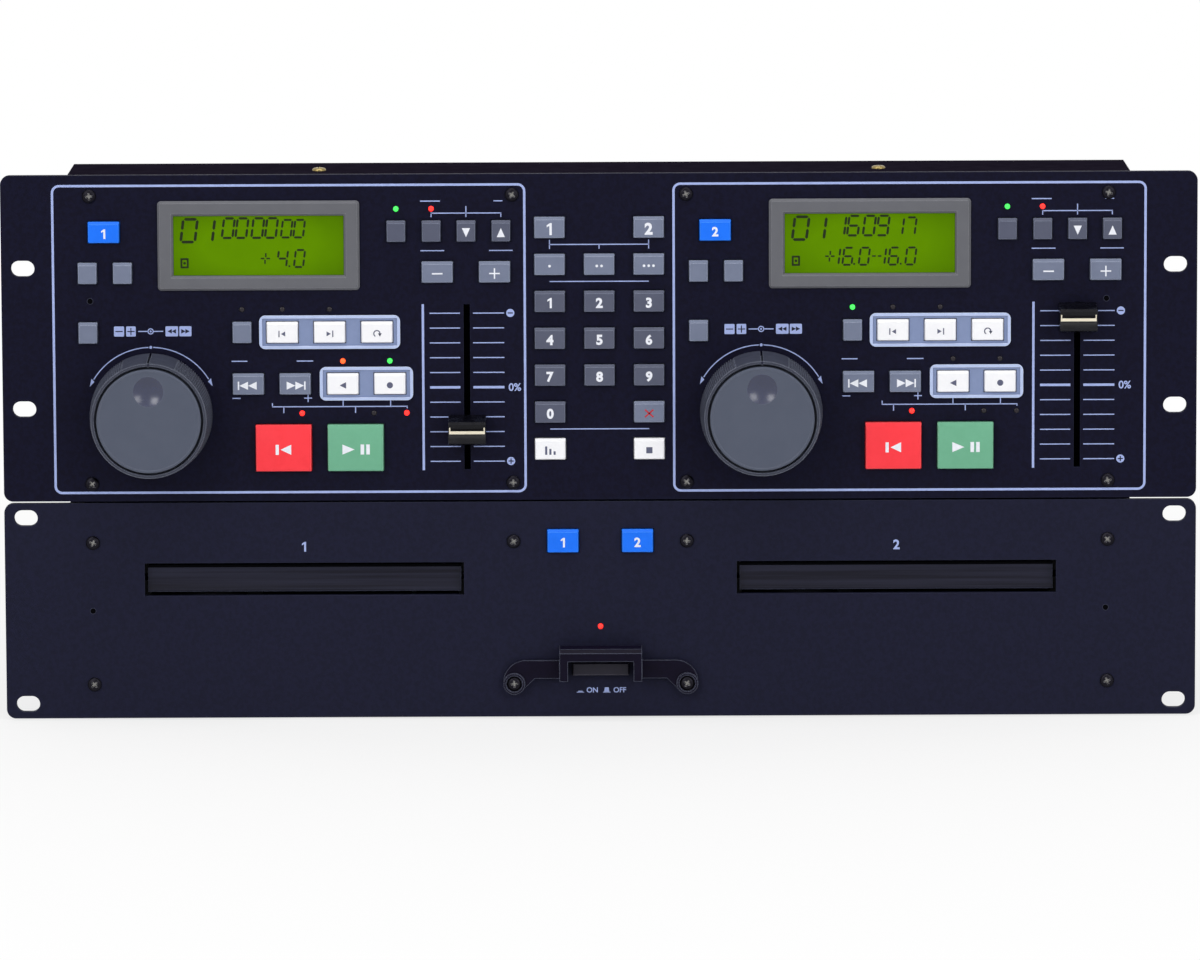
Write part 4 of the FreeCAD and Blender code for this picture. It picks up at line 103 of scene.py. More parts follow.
def toMesh(shape, name, sharpAngle=35):
    bmesh.ops.remove_doubles(shape, verts=shape.verts, dist=1e-7)
    bmesh.ops.recalc_face_normals(shape, faces=shape.faces)
    mesh = bpy.data.meshes.new(name)
    shape.to_mesh(mesh)
    shape.free()
    smooth(mesh, sharpAngle)
    return mesh


def newObject(name, data):
    thing = bpy.data.objects.new(name, data)
    bpy.context.scene.collection.objects.link(thing)
    return thing


def evaluated(thing):  # the mesh that an object comes to; the object is spent
    bpy.context.view_layer.update()
    mesh = bpy.data.meshes.new_from_object(thing.evaluated_get(bpy.context.evaluated_depsgraph_get()))
    bpy.data.objects.remove(thing)
    return mesh


def addPiece(name, mesh, material, body, replaces=()):
    piece = newObject(name, mesh)
    if not mesh.materials:
        mesh.materials.append(material)
    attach(piece, body)
    if replaces:
        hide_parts(*replaces)
    return piece


solidRow = 3  # solids whose lower sides lie within about this height make one row


# Each loose solid of a node as a box in millimetres, in rows from the top, each from left to right
def solidsOf(node, inFrontOf=None):
    shape = bmesh.new()
    shape.from_mesh(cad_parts[node].data)
    bmesh.ops.remove_doubles(shape, verts=shape.verts, dist=1e-6)
    left = set(shape.verts)
    boxes = []
    while left:
        reached = [left.pop()]
        island = []
        while reached:
            vertex = reached.pop()
            island.append(vertex)
            for edge in vertex.link_edges:
                other = edge.other_vert(vertex)
                if other in left:
                    left.remove(other)
                    reached.append(other)
        points = [vertex.co / mm for vertex in island]
        shown = [p for p in points if inFrontOf is None or p.y < inFrontOf]
        if shown:
            low = Vector([min(p[i] for p in shown) for i in range(3)])
            high = Vector([max(p[i] for p in shown) for i in range(3)])
            high.y = max(p.y for p in points)
            boxes.append((low, high))
    shape.free()
    return sorted(boxes, key=lambda pair: (-round(pair[0].z / solidRow), pair[0].x))


def nodeBox(node):
    return [Vector(corner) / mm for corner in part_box(node)]


def centreOf(low, high):  # of a box, as seen from the front
    return (low.x + high.x) / 2, (low.z + high.z) / 2


frontY = nodeBox("control_panel")[0].y
controlTop = nodeBox("control_panel")[1].z
playerTop = nodeBox("player_panel")[1].z
deckPitch = nodeBox("jog_dial_2")[0].x - nodeBox("jog_dial_1")[0].x
deckCentre = {1: -deckPitch / 2, 2: deckPitch / 2}


# A shader node with its settings and the sockets that feed it
def addNode(tree, kind, settings=None, links=None):
    node = tree.nodes.new(kind)
    for name, value in (settings or {}).items():
        if isinstance(name, int) or name in node.inputs:
            node.inputs[name].default_value = value
        else:
            setattr(node, name, value)
    for name, socket in (links or {}).items():
        tree.links.new(node.inputs[name], socket)
    return node


def newMaterial(name):
    material = bpy.data.materials.new(name)
    material.use_nodes = True
    material.node_tree.nodes.clear()
    return material, material.node_tree


def addRange(tree, value, limits, results=(0.0, 1.0), clamp=True):
    return addNode(tree, "ShaderNodeMapRange",
                   {"clamp": clamp, "From Min": limits[0], "From Max": limits[1], "To Min": results[0],
                    "To Max": results[1]}, {"Value": value}).outputs["Result"]


def addNoise(tree, place, scale, detail=2.0, roughness=0.5):
    return addNode(tree, "ShaderNodeTexNoise", {"Scale": scale, "Detail": detail, "Roughness": roughness},
                   {"Vector": place}).outputs["Fac"]


def addMix(tree, share, first, second):  # of two colours, the first of them a hex code or a socket
    mix = addNode(tree, "ShaderNodeMix", {"data_type": "RGBA"}, {0: share})
    if isinstance(first, str):
        mix.inputs[6].default_value = hexColour(first)
    else:
        tree.links.new(mix.inputs[6], first)
    mix.inputs[7].default_value = hexColour(second)
    return mix.outputs[2]


def addPrincipled(tree, settings, paint, roughness, height, depth, normal=None):
    bump = addNode(tree, "ShaderNodeBump", {"Distance": depth * mm}, {"Height": height})
    if normal:
        tree.links.new(bump.inputs["Normal"], normal)
    shader = addNode(tree, "ShaderNodeBsdfPrincipled", {"IOR": 1.5, **settings},
                     {"Base Color": paint, "Roughness": roughness, "Normal": bump.outputs["Normal"]})
    addNode(tree, "ShaderNodeOutputMaterial", {}, {"Surface": shader.outputs["BSDF"]})
    return shader


# where the noise lies that patches and gloss are made from, and the cosine between a face
# and its rounded normal at which the lighter edge colour, part wear and part painted highlight, starts and is
# full
finishLook = {"mottle": (0.38, 0.62), "gloss": (0.3, 0.7), "wearAndHighlightRange": (0.997, 0.9), "coatRoughness": 0.12,
              "metalSpecular": 0.5, "bevelSamples": 4}


# One finish: a body colour mottled with a second one, roughness that varies, a fine bump, and
# edges that are rounded and painted lighter, part wear and part painted highlight.  Patch, bump (size and
# height) and edge (its radius) are real, in millimetres; the edges' wear and highlight is a colour and how
# strongly it shows; glow a colour and its strength.
def makeFinish(name, colour, mottle, patch=4.0, rough=(0.4, 0.5), bump=(0.5, 0.004), edge=0.25, edgeWearAndHighlight=None,
               mottleShare=0.5, metallic=0.0, stretch=(1, 1, 1), coat=0.0, sheen=0.2, glow=None):
    material, tree = newMaterial(name)
    look = finishLook
    place = addNode(tree, "ShaderNodeTexCoord").outputs["Object"]
    scaled = addNode(tree, "ShaderNodeMapping", {"Scale": [1 / (s * mm) for s in stretch]},
                     {"Vector": place}).outputs["Vector"]
    patches = addNoise(tree, scaled, 1 / patch, 3.0, 0.6)
    paint = addMix(tree, addRange(tree, patches, look["mottle"], (0.0, mottleShare)), colour, mottle)
    rounded = addNode(tree, "ShaderNodeBevel", {"Radius": edge * mm, "samples": look["bevelSamples"]})
    # edges turned from the face get a lighter colour: wear, and a painted highlight of the light they catch
    if edgeWearAndHighlight:
        face = addNode(tree, "ShaderNodeNewGeometry")
        turned = addNode(tree, "ShaderNodeVectorMath", {"operation": "DOT_PRODUCT"},
                         {0: rounded.outputs["Normal"], 1: face.outputs["Normal"]}).outputs["Value"]
        paint = addMix(tree, addRange(tree, turned, look["wearAndHighlightRange"], (0.0, edgeWearAndHighlight[1])), paint, edgeWearAndHighlight[0])
    settings = {"Metallic": metallic, "Coat Weight": coat, "Coat Roughness": look["coatRoughness"],
                "Specular IOR Level": look["metalSpecular"] if metallic == 1.0 else sheen}
    if glow:
        settings.update({"Emission Color": hexColour(glow[0]), "Emission Strength": glow[1]})
    addPrincipled(tree, settings, paint, addRange(tree, patches, look["gloss"], rough),
                  addNoise(tree, scaled, 1 / bump[0], 4.0), bump[1], rounded.outputs["Normal"])
    return material


# Textured epoxy powder coat on sheet steel: navy black with a fine speckle, and hardly any shine
coatLook = {"patch": 1.6, "rough": (0.5, 0.64), "bump": (0.5, 0.035), "edge": 0.35, "sheen": 0.08}
powderNavy = makeFinish("powderCoatNavySteel", "#0c0b1e", "#15162e", edgeWearAndHighlight=("#34384f", 0.6), **coatLook)
# The same coat on the player's own panel, a shade lighter and greyer
powderSlate = makeFinish("powderCoatSlateSteel", "#191a2c", "#202138", edgeWearAndHighlight=("#3f4358", 0.6), **coatLook)
# Black powder coat on the folded housings: coarser orange peel, matt
powderBlack = makeFinish("powderCoatBlackSteel", "#1b1722", "#24202c", patch=6.0, rough=(0.8, 0.9),
                         bump=(0.6, 0.03), edge=0.4, edgeWearAndHighlight=("#4a4652", 0.6), sheen=0.0)
# The switch guard is a moulding painted darker than the panel, its edges lighter with a painted highlight
guardPaint = makeFinish("paintedNylonMidnight", "#0b0719", "#100b20", patch=3.0, bump=(0.4, 0.012), edge=0.45,
                        edgeWearAndHighlight=("#6a6f82", 1.0), sheen=0.08)


# Printed ink: a thin satin film, slightly uneven in tone
def makeInk(name, colour, mottle, rough=(0.4, 0.55)):
    return makeFinish(name, colour, mottle, patch=1.5, rough=rough, bump=(0.2, 0.004), edge=0.02)


# Screen-printed epoxy ink on the panels
printInk = makeInk("screenPrintInkPeriwinkle", "#a9b8ea", "#9dabde", (0.45, 0.6))
darkInk = makeInk("screenPrintInkNavy", "#15162c", "#1a1c34", (0.5, 0.6))
# Pad-printed ink on the keys and fader caps
whiteInk = makeInk("padPrintInkWhite", "#f2f4fb", "#e4e7f2")
greyInk = makeInk("padPrintInkGrey", "#5c5f78", "#66697f")
redInk = makeInk("padPrintInkRed", "#c2343e", "#b32e38")
creamInk = makeInk("padPrintInkCream", "#fff6df", "#f6ecd2", (0.35, 0.45))
# Moulded ABS keycaps and power button: fine spark-eroded grain; edges lighter from finger polish and painted
# highlight
keyColours = {  # body, mottle and edges
    "mouldedAbsLightGrey": ("#767e95", "#70788f", "#b3bbd0"),
    "mouldedAbsDarkGrey": ("#575b6e", "#525669", "#8f96aa"),
    "mouldedAbsBlue": ("#1676ff", "#1270f6", "#57a2ff"),
    "mouldedAbsRed": ("#ff3e48", "#f93741", "#ff7a78"),
    "mouldedAbsGreen": ("#6fb08f", "#69aa88", "#9ad2b2"),
    "mouldedAbsWhite": ("#fcfcff", "#f6f6fb", "#ffffff"),
    "mouldedAbsCharcoal": ("#211f2b", "#262430", "#5c5a66")}
absGrey, absDarkGrey, absBlue, absRed, absGreen, absWhite, absCharcoal = (
    makeFinish(name, colour, mottle, patch=5.0, rough=(0.36, 0.46), bump=(0.18, 0.008), edge=0.28,
               edgeWearAndHighlight=(edgeWearAndHighlight, 2.2)) for name, (colour, mottle, edgeWearAndHighlight) in keyColours.items())
# The dial is soft-touch painted ABS, even and satin; its dimple is polished and painted dark navy, a painted
# shade for its hollow
dialAbs = makeFinish("softPaintedAbsSlate", "#535969", "#4f5565", patch=9.0, rough=(0.42, 0.5),
                     bump=(0.15, 0.006), edge=0.2, edgeWearAndHighlight=("#8b90a0", 0.5))
dimpleShadeAbs = makeFinish("polishedAbsPaintedShade", "#101d46", "#0e193e", patch=9.0, rough=(0.22, 0.28),
                       bump=(0.3, 0.002), edge=0.1, sheen=0.9)
# The shuttle ring is a grippy elastomer, painted paler where its teeth and lip turn over: a painted highlight
ringRubber = makeFinish("mouldedElastomerSlate", "#3d404e", "#393c4a", patch=6.0, rough=(0.48, 0.6),
                        bump=(0.15, 0.008), edge=0.2, edgeWearAndHighlight=("#989eae", 1.4))
# Glossy black ABS of the fader's cap, with finger polish and a painted highlight on its edges
faderAbs = makeFinish("polishedAbsBlack", "#07070d", "#0b0b13", patch=5.0, rough=(0.18, 0.32),
                      bump=(0.3, 0.003), edgeWearAndHighlight=("#3a3a48", 0.5))
# Felt lips keep dust out of the fader slots: soft black, no shine, and dark as a painted shade of the slots
feltSlotShade = makeFinish("needledFeltSlotShade", "#07070c", "#0e0e14", patch=0.5, rough=(0.85, 0.95),
                       bump=(0.25, 0.08), edge=0.1, sheen=0.02)
# Satin paint on the moulded display bezel: warm grey, fine grain
bezelGrey = makeFinish("satinPaintedAbsGrey", "#66676d", "#626369", patch=7.0, rough=(0.42, 0.52),
                       bump=(0.2, 0.006), edge=0.35, edgeWearAndHighlight=("#a2a2a8", 0.6))
# Silver paint on the key surrounds: a rim of painted highlight round a lavender-grey field of painted shade
silverRimHighlight = makeFinish("silverPaintedAbsHighlight", "#bccbf0", "#b2c2e8", patch=3.0, metallic=0.35, rough=(0.3, 0.42),
                       bump=(0.2, 0.004), edgeWearAndHighlight=("#f4f7ff", 0.9))
silverFieldShade = makeFinish("silverPaintedAbsShade", "#8492b6", "#7f8db1", patch=3.0, metallic=0.25,
                         rough=(0.36, 0.48), bump=(0.2, 0.006), edge=0.2, edgeWearAndHighlight=("#a9abc4", 0.5))
# Tray mouldings: dark dyed ABS, its polish drawn along the front and plain on the level faces
trayAbs = makeFinish("polishedAbsSmoke", "#141422", "#242536", patch=2.4, mottleShare=1.0,
                     stretch=(60, 60, 1), rough=(0.3, 0.42), bump=(0.8, 0.004), edge=0.4,
                     edgeWearAndHighlight=("#5c6178", 1.2), sheen=0.15)
# Painted shadow: the band along the top of the tray's front, under the slot's edge, is dull black,
# and the blind holes show the same black as painted shade
paintedShadeAbs = makeFinish("paintedShadeBlack", "#050508", "#08080c", patch=3.0, rough=(0.7, 0.8), bump=(0.3, 0.004),
                        edge=0.1, sheen=0.02)
# Glass-filled black moulding of the loader's frame and traverse: flow marks and a dull skin
mouldedBlack = makeFinish("glassFilledNylonBlack", "#1c1d20", "#25262a", patch=8.0, rough=(0.5, 0.65),
                          bump=(0.4, 0.015), edge=0.3, edgeWearAndHighlight=("#4a4b50", 0.4))
# Loading gears of black acetal, smooth from the mould
acetal = makeFinish("mouldedAcetalBlack", "#24252a", "#2b2c31", patch=6.0, rough=(0.35, 0.45),
                    bump=(0.3, 0.004), edge=0.15, edgeWearAndHighlight=("#36373c", 0.5), sheen=0.05)
# Passivated zinc on pressed steel: pale, slightly spangled
zincSteel = makeFinish("zincPlatedSteel", "#a9adb0", "#b9bcbf", patch=5.0, metallic=1.0, rough=(0.28, 0.42),
                       bump=(0.6, 0.004), edge=0.2, edgeWearAndHighlight=("#d6d8da", 0.5))
# Motors in deep-drawn cans: the spindle's are bright; the loading motors' are painted dark, a painted shade
# for the gap they are seen through
drawnSteel = makeFinish("drawnSteelCan", "#9a9da1", "#8d9094", patch=1.2, stretch=(1, 14, 1), metallic=1.0,
                        rough=(0.25, 0.38), bump=(0.3, 0.004), edge=0.2)
motorShadeSteel = makeFinish("steelCanPaintedShade", "#26272b", "#1f2024", patch=1.2, metallic=1.0,
                             rough=(0.45, 0.6), bump=(0.3, 0.006), edge=0.2)
# Laminated transformer core under brown varnish
varnishedCore = makeFinish("varnishedLaminations", "#4a4036", "#5a4d3f", patch=0.8, stretch=(30, 1, 30),
                           rough=(0.35, 0.55), bump=(0.5, 0.05), edge=0.3)
# Solder resist over copper: green with darker tracks
circuitGreen = makeFinish("solderResistGreen", "#0f4a2a", "#17663a", patch=1.6, stretch=(1, 1, 6),
                          rough=(0.25, 0.4), bump=(1.0, 0.03), edge=0.15, coat=0.3)
# Pickups of die-cast zinc with a sandy skin
castZinc = makeFinish("dieCastZinc", "#8e9094", "#9c9ea2", patch=3.0, metallic=1.0, rough=(0.4, 0.55),
                      bump=(0.5, 0.02), edge=0.2, edgeWearAndHighlight=("#c4c6c9", 0.5))
# Bright nickel over brass on the rear sockets
nickel = makeFinish("nickelPlatedBrass", "#c2bfb6", "#b4b1a8", metallic=1.0, rough=(0.14, 0.24),
                    bump=(0.5, 0.002), edge=0.2, edgeWearAndHighlight=("#e6e4dd", 0.5))
# Rubber pads, matt and dusty
softRubber = makeFinish("mouldedRubberBlack", "#17171a", "#202024", patch=3.0, rough=(0.65, 0.8),
                        bump=(0.3, 0.02), edge=0.4)
# Black oxide screws in front, yellow passivated ones in the covers; their rims are painted lighter and
# their recesses bright: part driver wear, part painted highlight and glint
screwLook = {"metallic": 1.0, "bump": (0.25, 0.006)}
blackScrew = makeFinish("blackOxideSteel", "#1d1c22", "#28272d", patch=1.0, rough=(0.3, 0.45), edge=0.28,
                        edgeWearAndHighlight=("#8a8990", 1.4), **screwLook)
yellowScrew = makeFinish("yellowPassivatedSteel", "#8f7d4e", "#9a8b62", patch=1.0, rough=(0.22, 0.38),
                         edge=0.15, edgeWearAndHighlight=("#cbbb8c", 0.5), **screwLook)
wornGlintSteel = makeFinish("wornGlintSteel", "#8f8e8b", "#6f6e6c", patch=0.6, rough=(0.2, 0.35), edge=0.1,
                         edgeWearAndHighlight=("#e4e2da", 0.5), **screwLook)
# A pale ring round each blind hole: a painted highlight of its rim
holeRimHighlight = makeFinish("paintedHoleRimHighlight", "#3b3d50", "#33354a", patch=0.5, bump=(0.2, 0.004), edge=0.02)
# Switched-on segments of the display: dark olive dye, a little glossy under the glass
segmentDye = makeFinish("liquidCrystalSegments", "#142200", "#1a2a00", patch=3.0, rough=(0.25, 0.35),
                        bump=(0.5, 0.002), edge=0.02)
print("materials made")

nodeFinish = {
    "control_panel": powderNavy, "player_panel": powderSlate, "power_switch_guard": guardPaint,
    "control_case": powderBlack, "player_cover": powderBlack, "player_chassis": zincSteel,
    "key_surrounds": silverRimHighlight, "display_frames": bezelGrey, "fader_tracks": feltSlotShade,
    "control_board": circuitGreen, "player_board": circuitGreen, "rubber_feet": softRubber,
    "loader_frames": mouldedBlack, "clamp_bridges": zincSteel, "loading_motors": motorShadeSteel,
    "mains_transformer": varnishedCore, "rear_connectors": nickel, "mains_inlet": mouldedBlack,
    "power_button": absCharcoal,
}
deckFinish = {"disc_tray": trayAbs, "loading_gear": acetal, "turntable": mouldedBlack, "pickup": castZinc,
              "traverse_frame": mouldedBlack, "traverse_drive": drawnSteel}
for group, material in deckFinish.items():
    for deck in (1, 2):
        nodeFinish[f"{group}_{deck}"] = material


def dress(node, material):
    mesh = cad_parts[node].data
    mesh.materials.clear()
    mesh.materials.append(material)
    smooth(mesh, 24)


# Gives the faces that pass a test a second material
def dressFaces(mesh, material, passes):
    mesh.materials.append(material)
    for polygon in mesh.polygons:
        polygon.material_index = 1 if passes(polygon) else 0


for node, material in nodeFinish.items():
    dress(node, material)
# the surrounds' field lies behind their rim's crest, and is painted darker: a painted shade
crestDepth = 0.1
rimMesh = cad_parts["key_surrounds"].data
rimFront = min(vertex.co.y for vertex in rimMesh.vertices)
dressFaces(rimMesh, silverFieldShade,
           lambda face: min(rimMesh.vertices[i].co.y for i in face.vertices) > rimFront + crestDepth * mm)
# the tray front's band of painted shadow: how deep its faces lie, and where it starts,
# as a share of the front's half height
shadowBand = {"depth": 0.3, "share": 0.84}
for deck in (1, 2):
    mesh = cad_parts[f"disc_tray_{deck}"].data
    front = min(vertex.co.y for vertex in mesh.vertices)
    heights = [vertex.co.z for vertex in mesh.vertices if vertex.co.y < front + mm]
    top, low = max(heights), min(heights)
    shadowFrom = (top + low) / 2 + shadowBand["share"] * (top - low) / 2
    dressFaces(mesh, paintedShadeAbs,
               lambda face: face.center.y < front + shadowBand["depth"] * mm and face.center.z > shadowFrom)
print("solids dressed")

# Keys: the caps, and what shows of each key in front of its panel
keyShape = {"topBevel": 1.05, "sideBevel": 0.32, "bevelDepth": 0.75, "corner": 0.45, "largeTopBevel": 1.6,
            "root": 3.0, "stem": 3.0, "lip": 0.9, "lipFront": 3.1, "lipBack": 1.3, "shownFrom": 0.6}
capFinish = {"grey_key": absGrey, "dark_key": absDarkGrey, "white_key": absWhite, "red_key": absRed,
             "green_key": absGreen, "blue_key": absBlue}
keySlot = {"mode_keys": "grey_key", "pitch_keys": "dark_key", "bend_keys": "grey_key",
           "track_keys": "grey_key", "loop_keys": "white_key", "sampler_keys": "white_key",
           "cue_key": "red_key", "play_key": "green_key", "open_keys": "blue_key", "number_keys": "dark_key",
           "function_keys": "grey_key", "player_open_keys": "blue_key"}
whiteFunctionKeys = (6, 7)  # the lowest pair of the centre column
keyBoxes = {}


# A cap with a broad bevel on top and narrow ones elsewhere, its stop lip and its stem
def keySolid(shape, low, high, topBevel):
    look = keyShape
    width, height = high.x - low.x, high.z - low.z
    x, z = centreOf(low, high)
    side, lip, half = look["sideBevel"], look["lip"], look["stem"] / 2
    full = roundedOutline(x, z, width, height, look["corner"])
    face = roundedOutline(x, z + (side - topBevel) / 2, width - 2 * side, height - side - topBevel,
                          look["corner"])
    loft(shape, [atDepth(full, frontY + look["root"]), atDepth(full, low.y + look["bevelDepth"]),
                 atDepth(face, low.y)])
    lipY = frontY + look["lipFront"]
    stemY = lipY + look["lipBack"]
    box(shape, (low.x - lip, lipY, low.z - lip), (high.x + lip, stemY, high.z + lip))
    box(shape, (x - half, stemY, z - half), (x + half, high.y, z + half))


for group, slotName in keySlot.items():
    decks = ("",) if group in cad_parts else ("_1", "_2")
    bevel = keyShape["largeTopBevel" if group in ("cue_key", "play_key") else "topBevel"]
    for deck in decks:
        node = group + deck
        keyBoxes[node] = solidsOf(node, frontY - keyShape["shownFrom"])
        shapes = {False: bmesh.new(), True: bmesh.new()}
        for i, (low, high) in enumerate(keyBoxes[node]):
            keySolid(shapes[group == "function_keys" and i in whiteFunctionKeys], low, high, bevel)
        addPiece("caps_" + node, toMesh(shapes[False], "caps_" + node, 30), capFinish[slotName], node,
                 [node])
        if group == "function_keys":
            addPiece("white_caps_" + node, toMesh(shapes[True], "white_caps", 30), absWhite, node,
                     [node])
print("keys made")

# Print: thin solids that stand a few hundredths of a millimetre off their face
inkFilm = 0.05
inkRoot = 0.02
# a bold figure one with its flag, as shares of its height
numeralOne = [(0.0, -0.5), (0.2, -0.5), (0.2, 0.5), (0.05, 0.5), (-0.22, 0.31), (-0.22, 0.14), (0.0, 0.27)]


def signedArea(outline):
    return sum(a[0] * b[1] - b[0] * a[1] for a, b in zip(outline, outline[1:] + outline[:1])) / 2


class Print:
    def __init__(self, faceY):
        self.shape = bmesh.new()
        self.back = faceY + inkRoot
        self.front = faceY - inkFilm

    def area(self, outline):
        if signedArea(outline) < 0:
            outline = outline[::-1]
        loft(self.shape, [atDepth(outline, self.back), atDepth(outline, self.front)])

    def band(self, outer, inner):  # a closed band between two outlines of as many points
        loftRing(self.shape, [atDepth(outer, self.back), atDepth(outer, self.front),
                              atDepth(inner, self.front), atDepth(inner, self.back)])

    def line(self, x1, z1, x2, z2, width):
        along = Vector((x2 - x1, z2 - z1)).normalized() * width / 2
        a, b = -along.y, along.x
        self.area([(x1 + a, z1 + b), (x1 - a, z1 - b), (x2 - a, z2 - b), (x2 + a, z2 + b)])

    # what follows is drawn about a middle point
    def stroke(self, x, z, reachX, reachZ, width):
        self.line(x - reachX, z - reachZ, x + reachX, z + reachZ, width)

    def arc(self, x, z, radius, width, start, stop, steps=24):
        angles = [math.radians(start + (stop - start) * i / steps) for i in range(steps + 1)]
        outer, inner = ([(x + r * math.cos(a), z + r * math.sin(a)) for a in angles]
                        for r in (radius + width / 2, radius - width / 2))
        self.area(outer + inner[::-1])

    def dot(self, x, z, radius, steps=24):
        self.area(circleOutline(x, z, radius, steps))

    def ring(self, x, z, radius, width):
        self.band(circleOutline(x, z, radius), circleOutline(x, z, radius - width))

    def plus(self, x, z, size, width):
        a, b = size / 2, width / 2
        corners = [(a, b), (b, b), (b, a), (-b, a), (-b, b), (-a, b)]
        self.area([(x + sign * i, z + sign * k) for sign in (1, -1) for i, k in corners])

    def block(self, x, z, width, height):
        a, b = width / 2, height / 2
        self.area([(x + a, z + b), (x - a, z + b), (x - a, z - b), (x + a, z - b)])

    def arrow(self, x, z, length, breadth, way):  # a head that points along way, a unit step
        wx, wz = way
        a, b = length / 2, breadth / 2
        self.area([(x + wx * a, z + wz * a), (x - wx * a - wz * b, z - wz * a + wx * b),
                   (x - wx * a + wz * b, z - wz * a - wx * b)])

    def text(self, x, z, words, height, weight=0.02):
        if words == "1":
            self.area([(x + a * height, z + b * height) for a, b in numeralOne])
            return
        curve = bpy.data.curves.new("glyphs", "FONT")
        curve.body = words
        curve.offset = weight
        curve.extrude = 0.05  # any thickness will do: both sides are moved to their own depths below
        curve.resolution_u = 5
        holder = newObject("glyphs", curve)
        flat = evaluated(holder)
        bpy.data.curves.remove(curve)
        xs = [v.co.x for v in flat.vertices]
        ys = [v.co.y for v in flat.vertices]
        scale = height / (max(ys) - min(ys))
        midX = (min(xs) + max(xs)) / 2
        midY = (min(ys) + max(ys)) / 2
        for v in flat.vertices:
            depth = self.front if v.co.z > 0 else self.back
            v.co = Vector((x + (v.co.x - midX) * scale, depth, z + (v.co.y - midY) * scale)) * mm
        self.shape.from_mesh(flat)
        bpy.data.meshes.remove(flat)

    def put(self, name, ink, body, slot):
        return addPiece(name, toMesh(self.shape, name, 20), ink, body)


def down(v):  # height of a point so many millimetres below the control panel's top edge
    return controlTop - v


thin = 0.42
mark = Print(frontY)
darkMark = Print(frontY - inkFilm)
# the frame round each deck
panelPrint = {"line": 0.95, "corner": 3.2, "top": 3.8, "low": 129.5, "inner": 29.6, "outer": 220.8}
look = panelPrint
line = look["line"]
width, height = look["outer"] - look["inner"], look["low"] - look["top"]
for side in (-1, 1):
    x, z = side * (look["inner"] + look["outer"]) / 2, down(look["top"] + height / 2)
    mark.band(roundedOutline(x, z, width, height, look["corner"], 8),
              roundedOutline(x, z, width - 2 * line, height - 2 * line, look["corner"] - line, 8))

# a deck's legends: x is measured from the deck's centre line and v down from the panel's top
deckLines = [  # x, v, x, v
    (51.2, 10.9, 59.2, 10.9), (80.8, 10.9, 84.4, 10.9),  # beside the key control's legend
    (51.2, 31.0, 60.8, 31.0), (78.9, 31.0, 88.4, 31.0),  # beside the pitch bend's
    (-25.4, 75.6, -19.0, 75.6), (0.9, 75.6, 7.6, 75.6),  # beside the track keys'
    (-25.1, 90.7, -21.9, 90.7),  # minus under the track keys
    # bracket over the two large keys, with its branches up and down
    (-9.05 - thin / 2, 94.2, 45.45 + thin / 2, 94.2), (-9.05, 94.2, -9.05, 92.7), (45.45, 94.2, 45.45, 95.0),
    (19.55, 94.2, 19.55, 91.5), (38.75, 94.2, 38.75, 91.5), (-4.45, 94.2, -4.45, 96.8),
    (24.55, 94.2, 24.55, 96.8),
]
tonePrint = {"bracket": 15.8, "end": 17.4, "top": 13.0}
plusPrint = {"x": 5.4, "v": 90.7, "size": 3.2}
scalePrint = {"bar": (52.0, 52.7, 52.0, 120.3), "barWidth": 0.95, "top": 56.4, "pitch": 6.03, "ticks": 11,
              "spans": [(54.75, 67.0), (72.25, 84.8)], "zero": 5, "zeroWidth": 1.0, "zeroX": 89.0,
              "zeroHeight": 3.2, "signX": 87.3, "signRadius": 1.65, "sign": (2.1, 0.45)}
# the dial's marks: search and scan boxes as (x, width), and the arc with its arrow heads and index dot
dialPrint = {"row": 63.3, "boxes": [(-12.75, 4.1), (-7.95, 3.9), (8.55, 5.1), (14.05, 4.9)],
             "boxHeight": 4.1, "sign": (2.9, 0.4), "arrow": (1.7, 1.8), "arrowShift": 0.85,
             "line": (1.3, 5.05), "eye": (1.25, 0.4), "arc": 27.2, "arcEnd": 31.5, "arcGap": 2.0, "dot": 0.62}


def deckLine(centre, x1, v1, x2, v2, width=thin):
    mark.line(centre + x1, down(v1), centre + x2, down(v2), width)


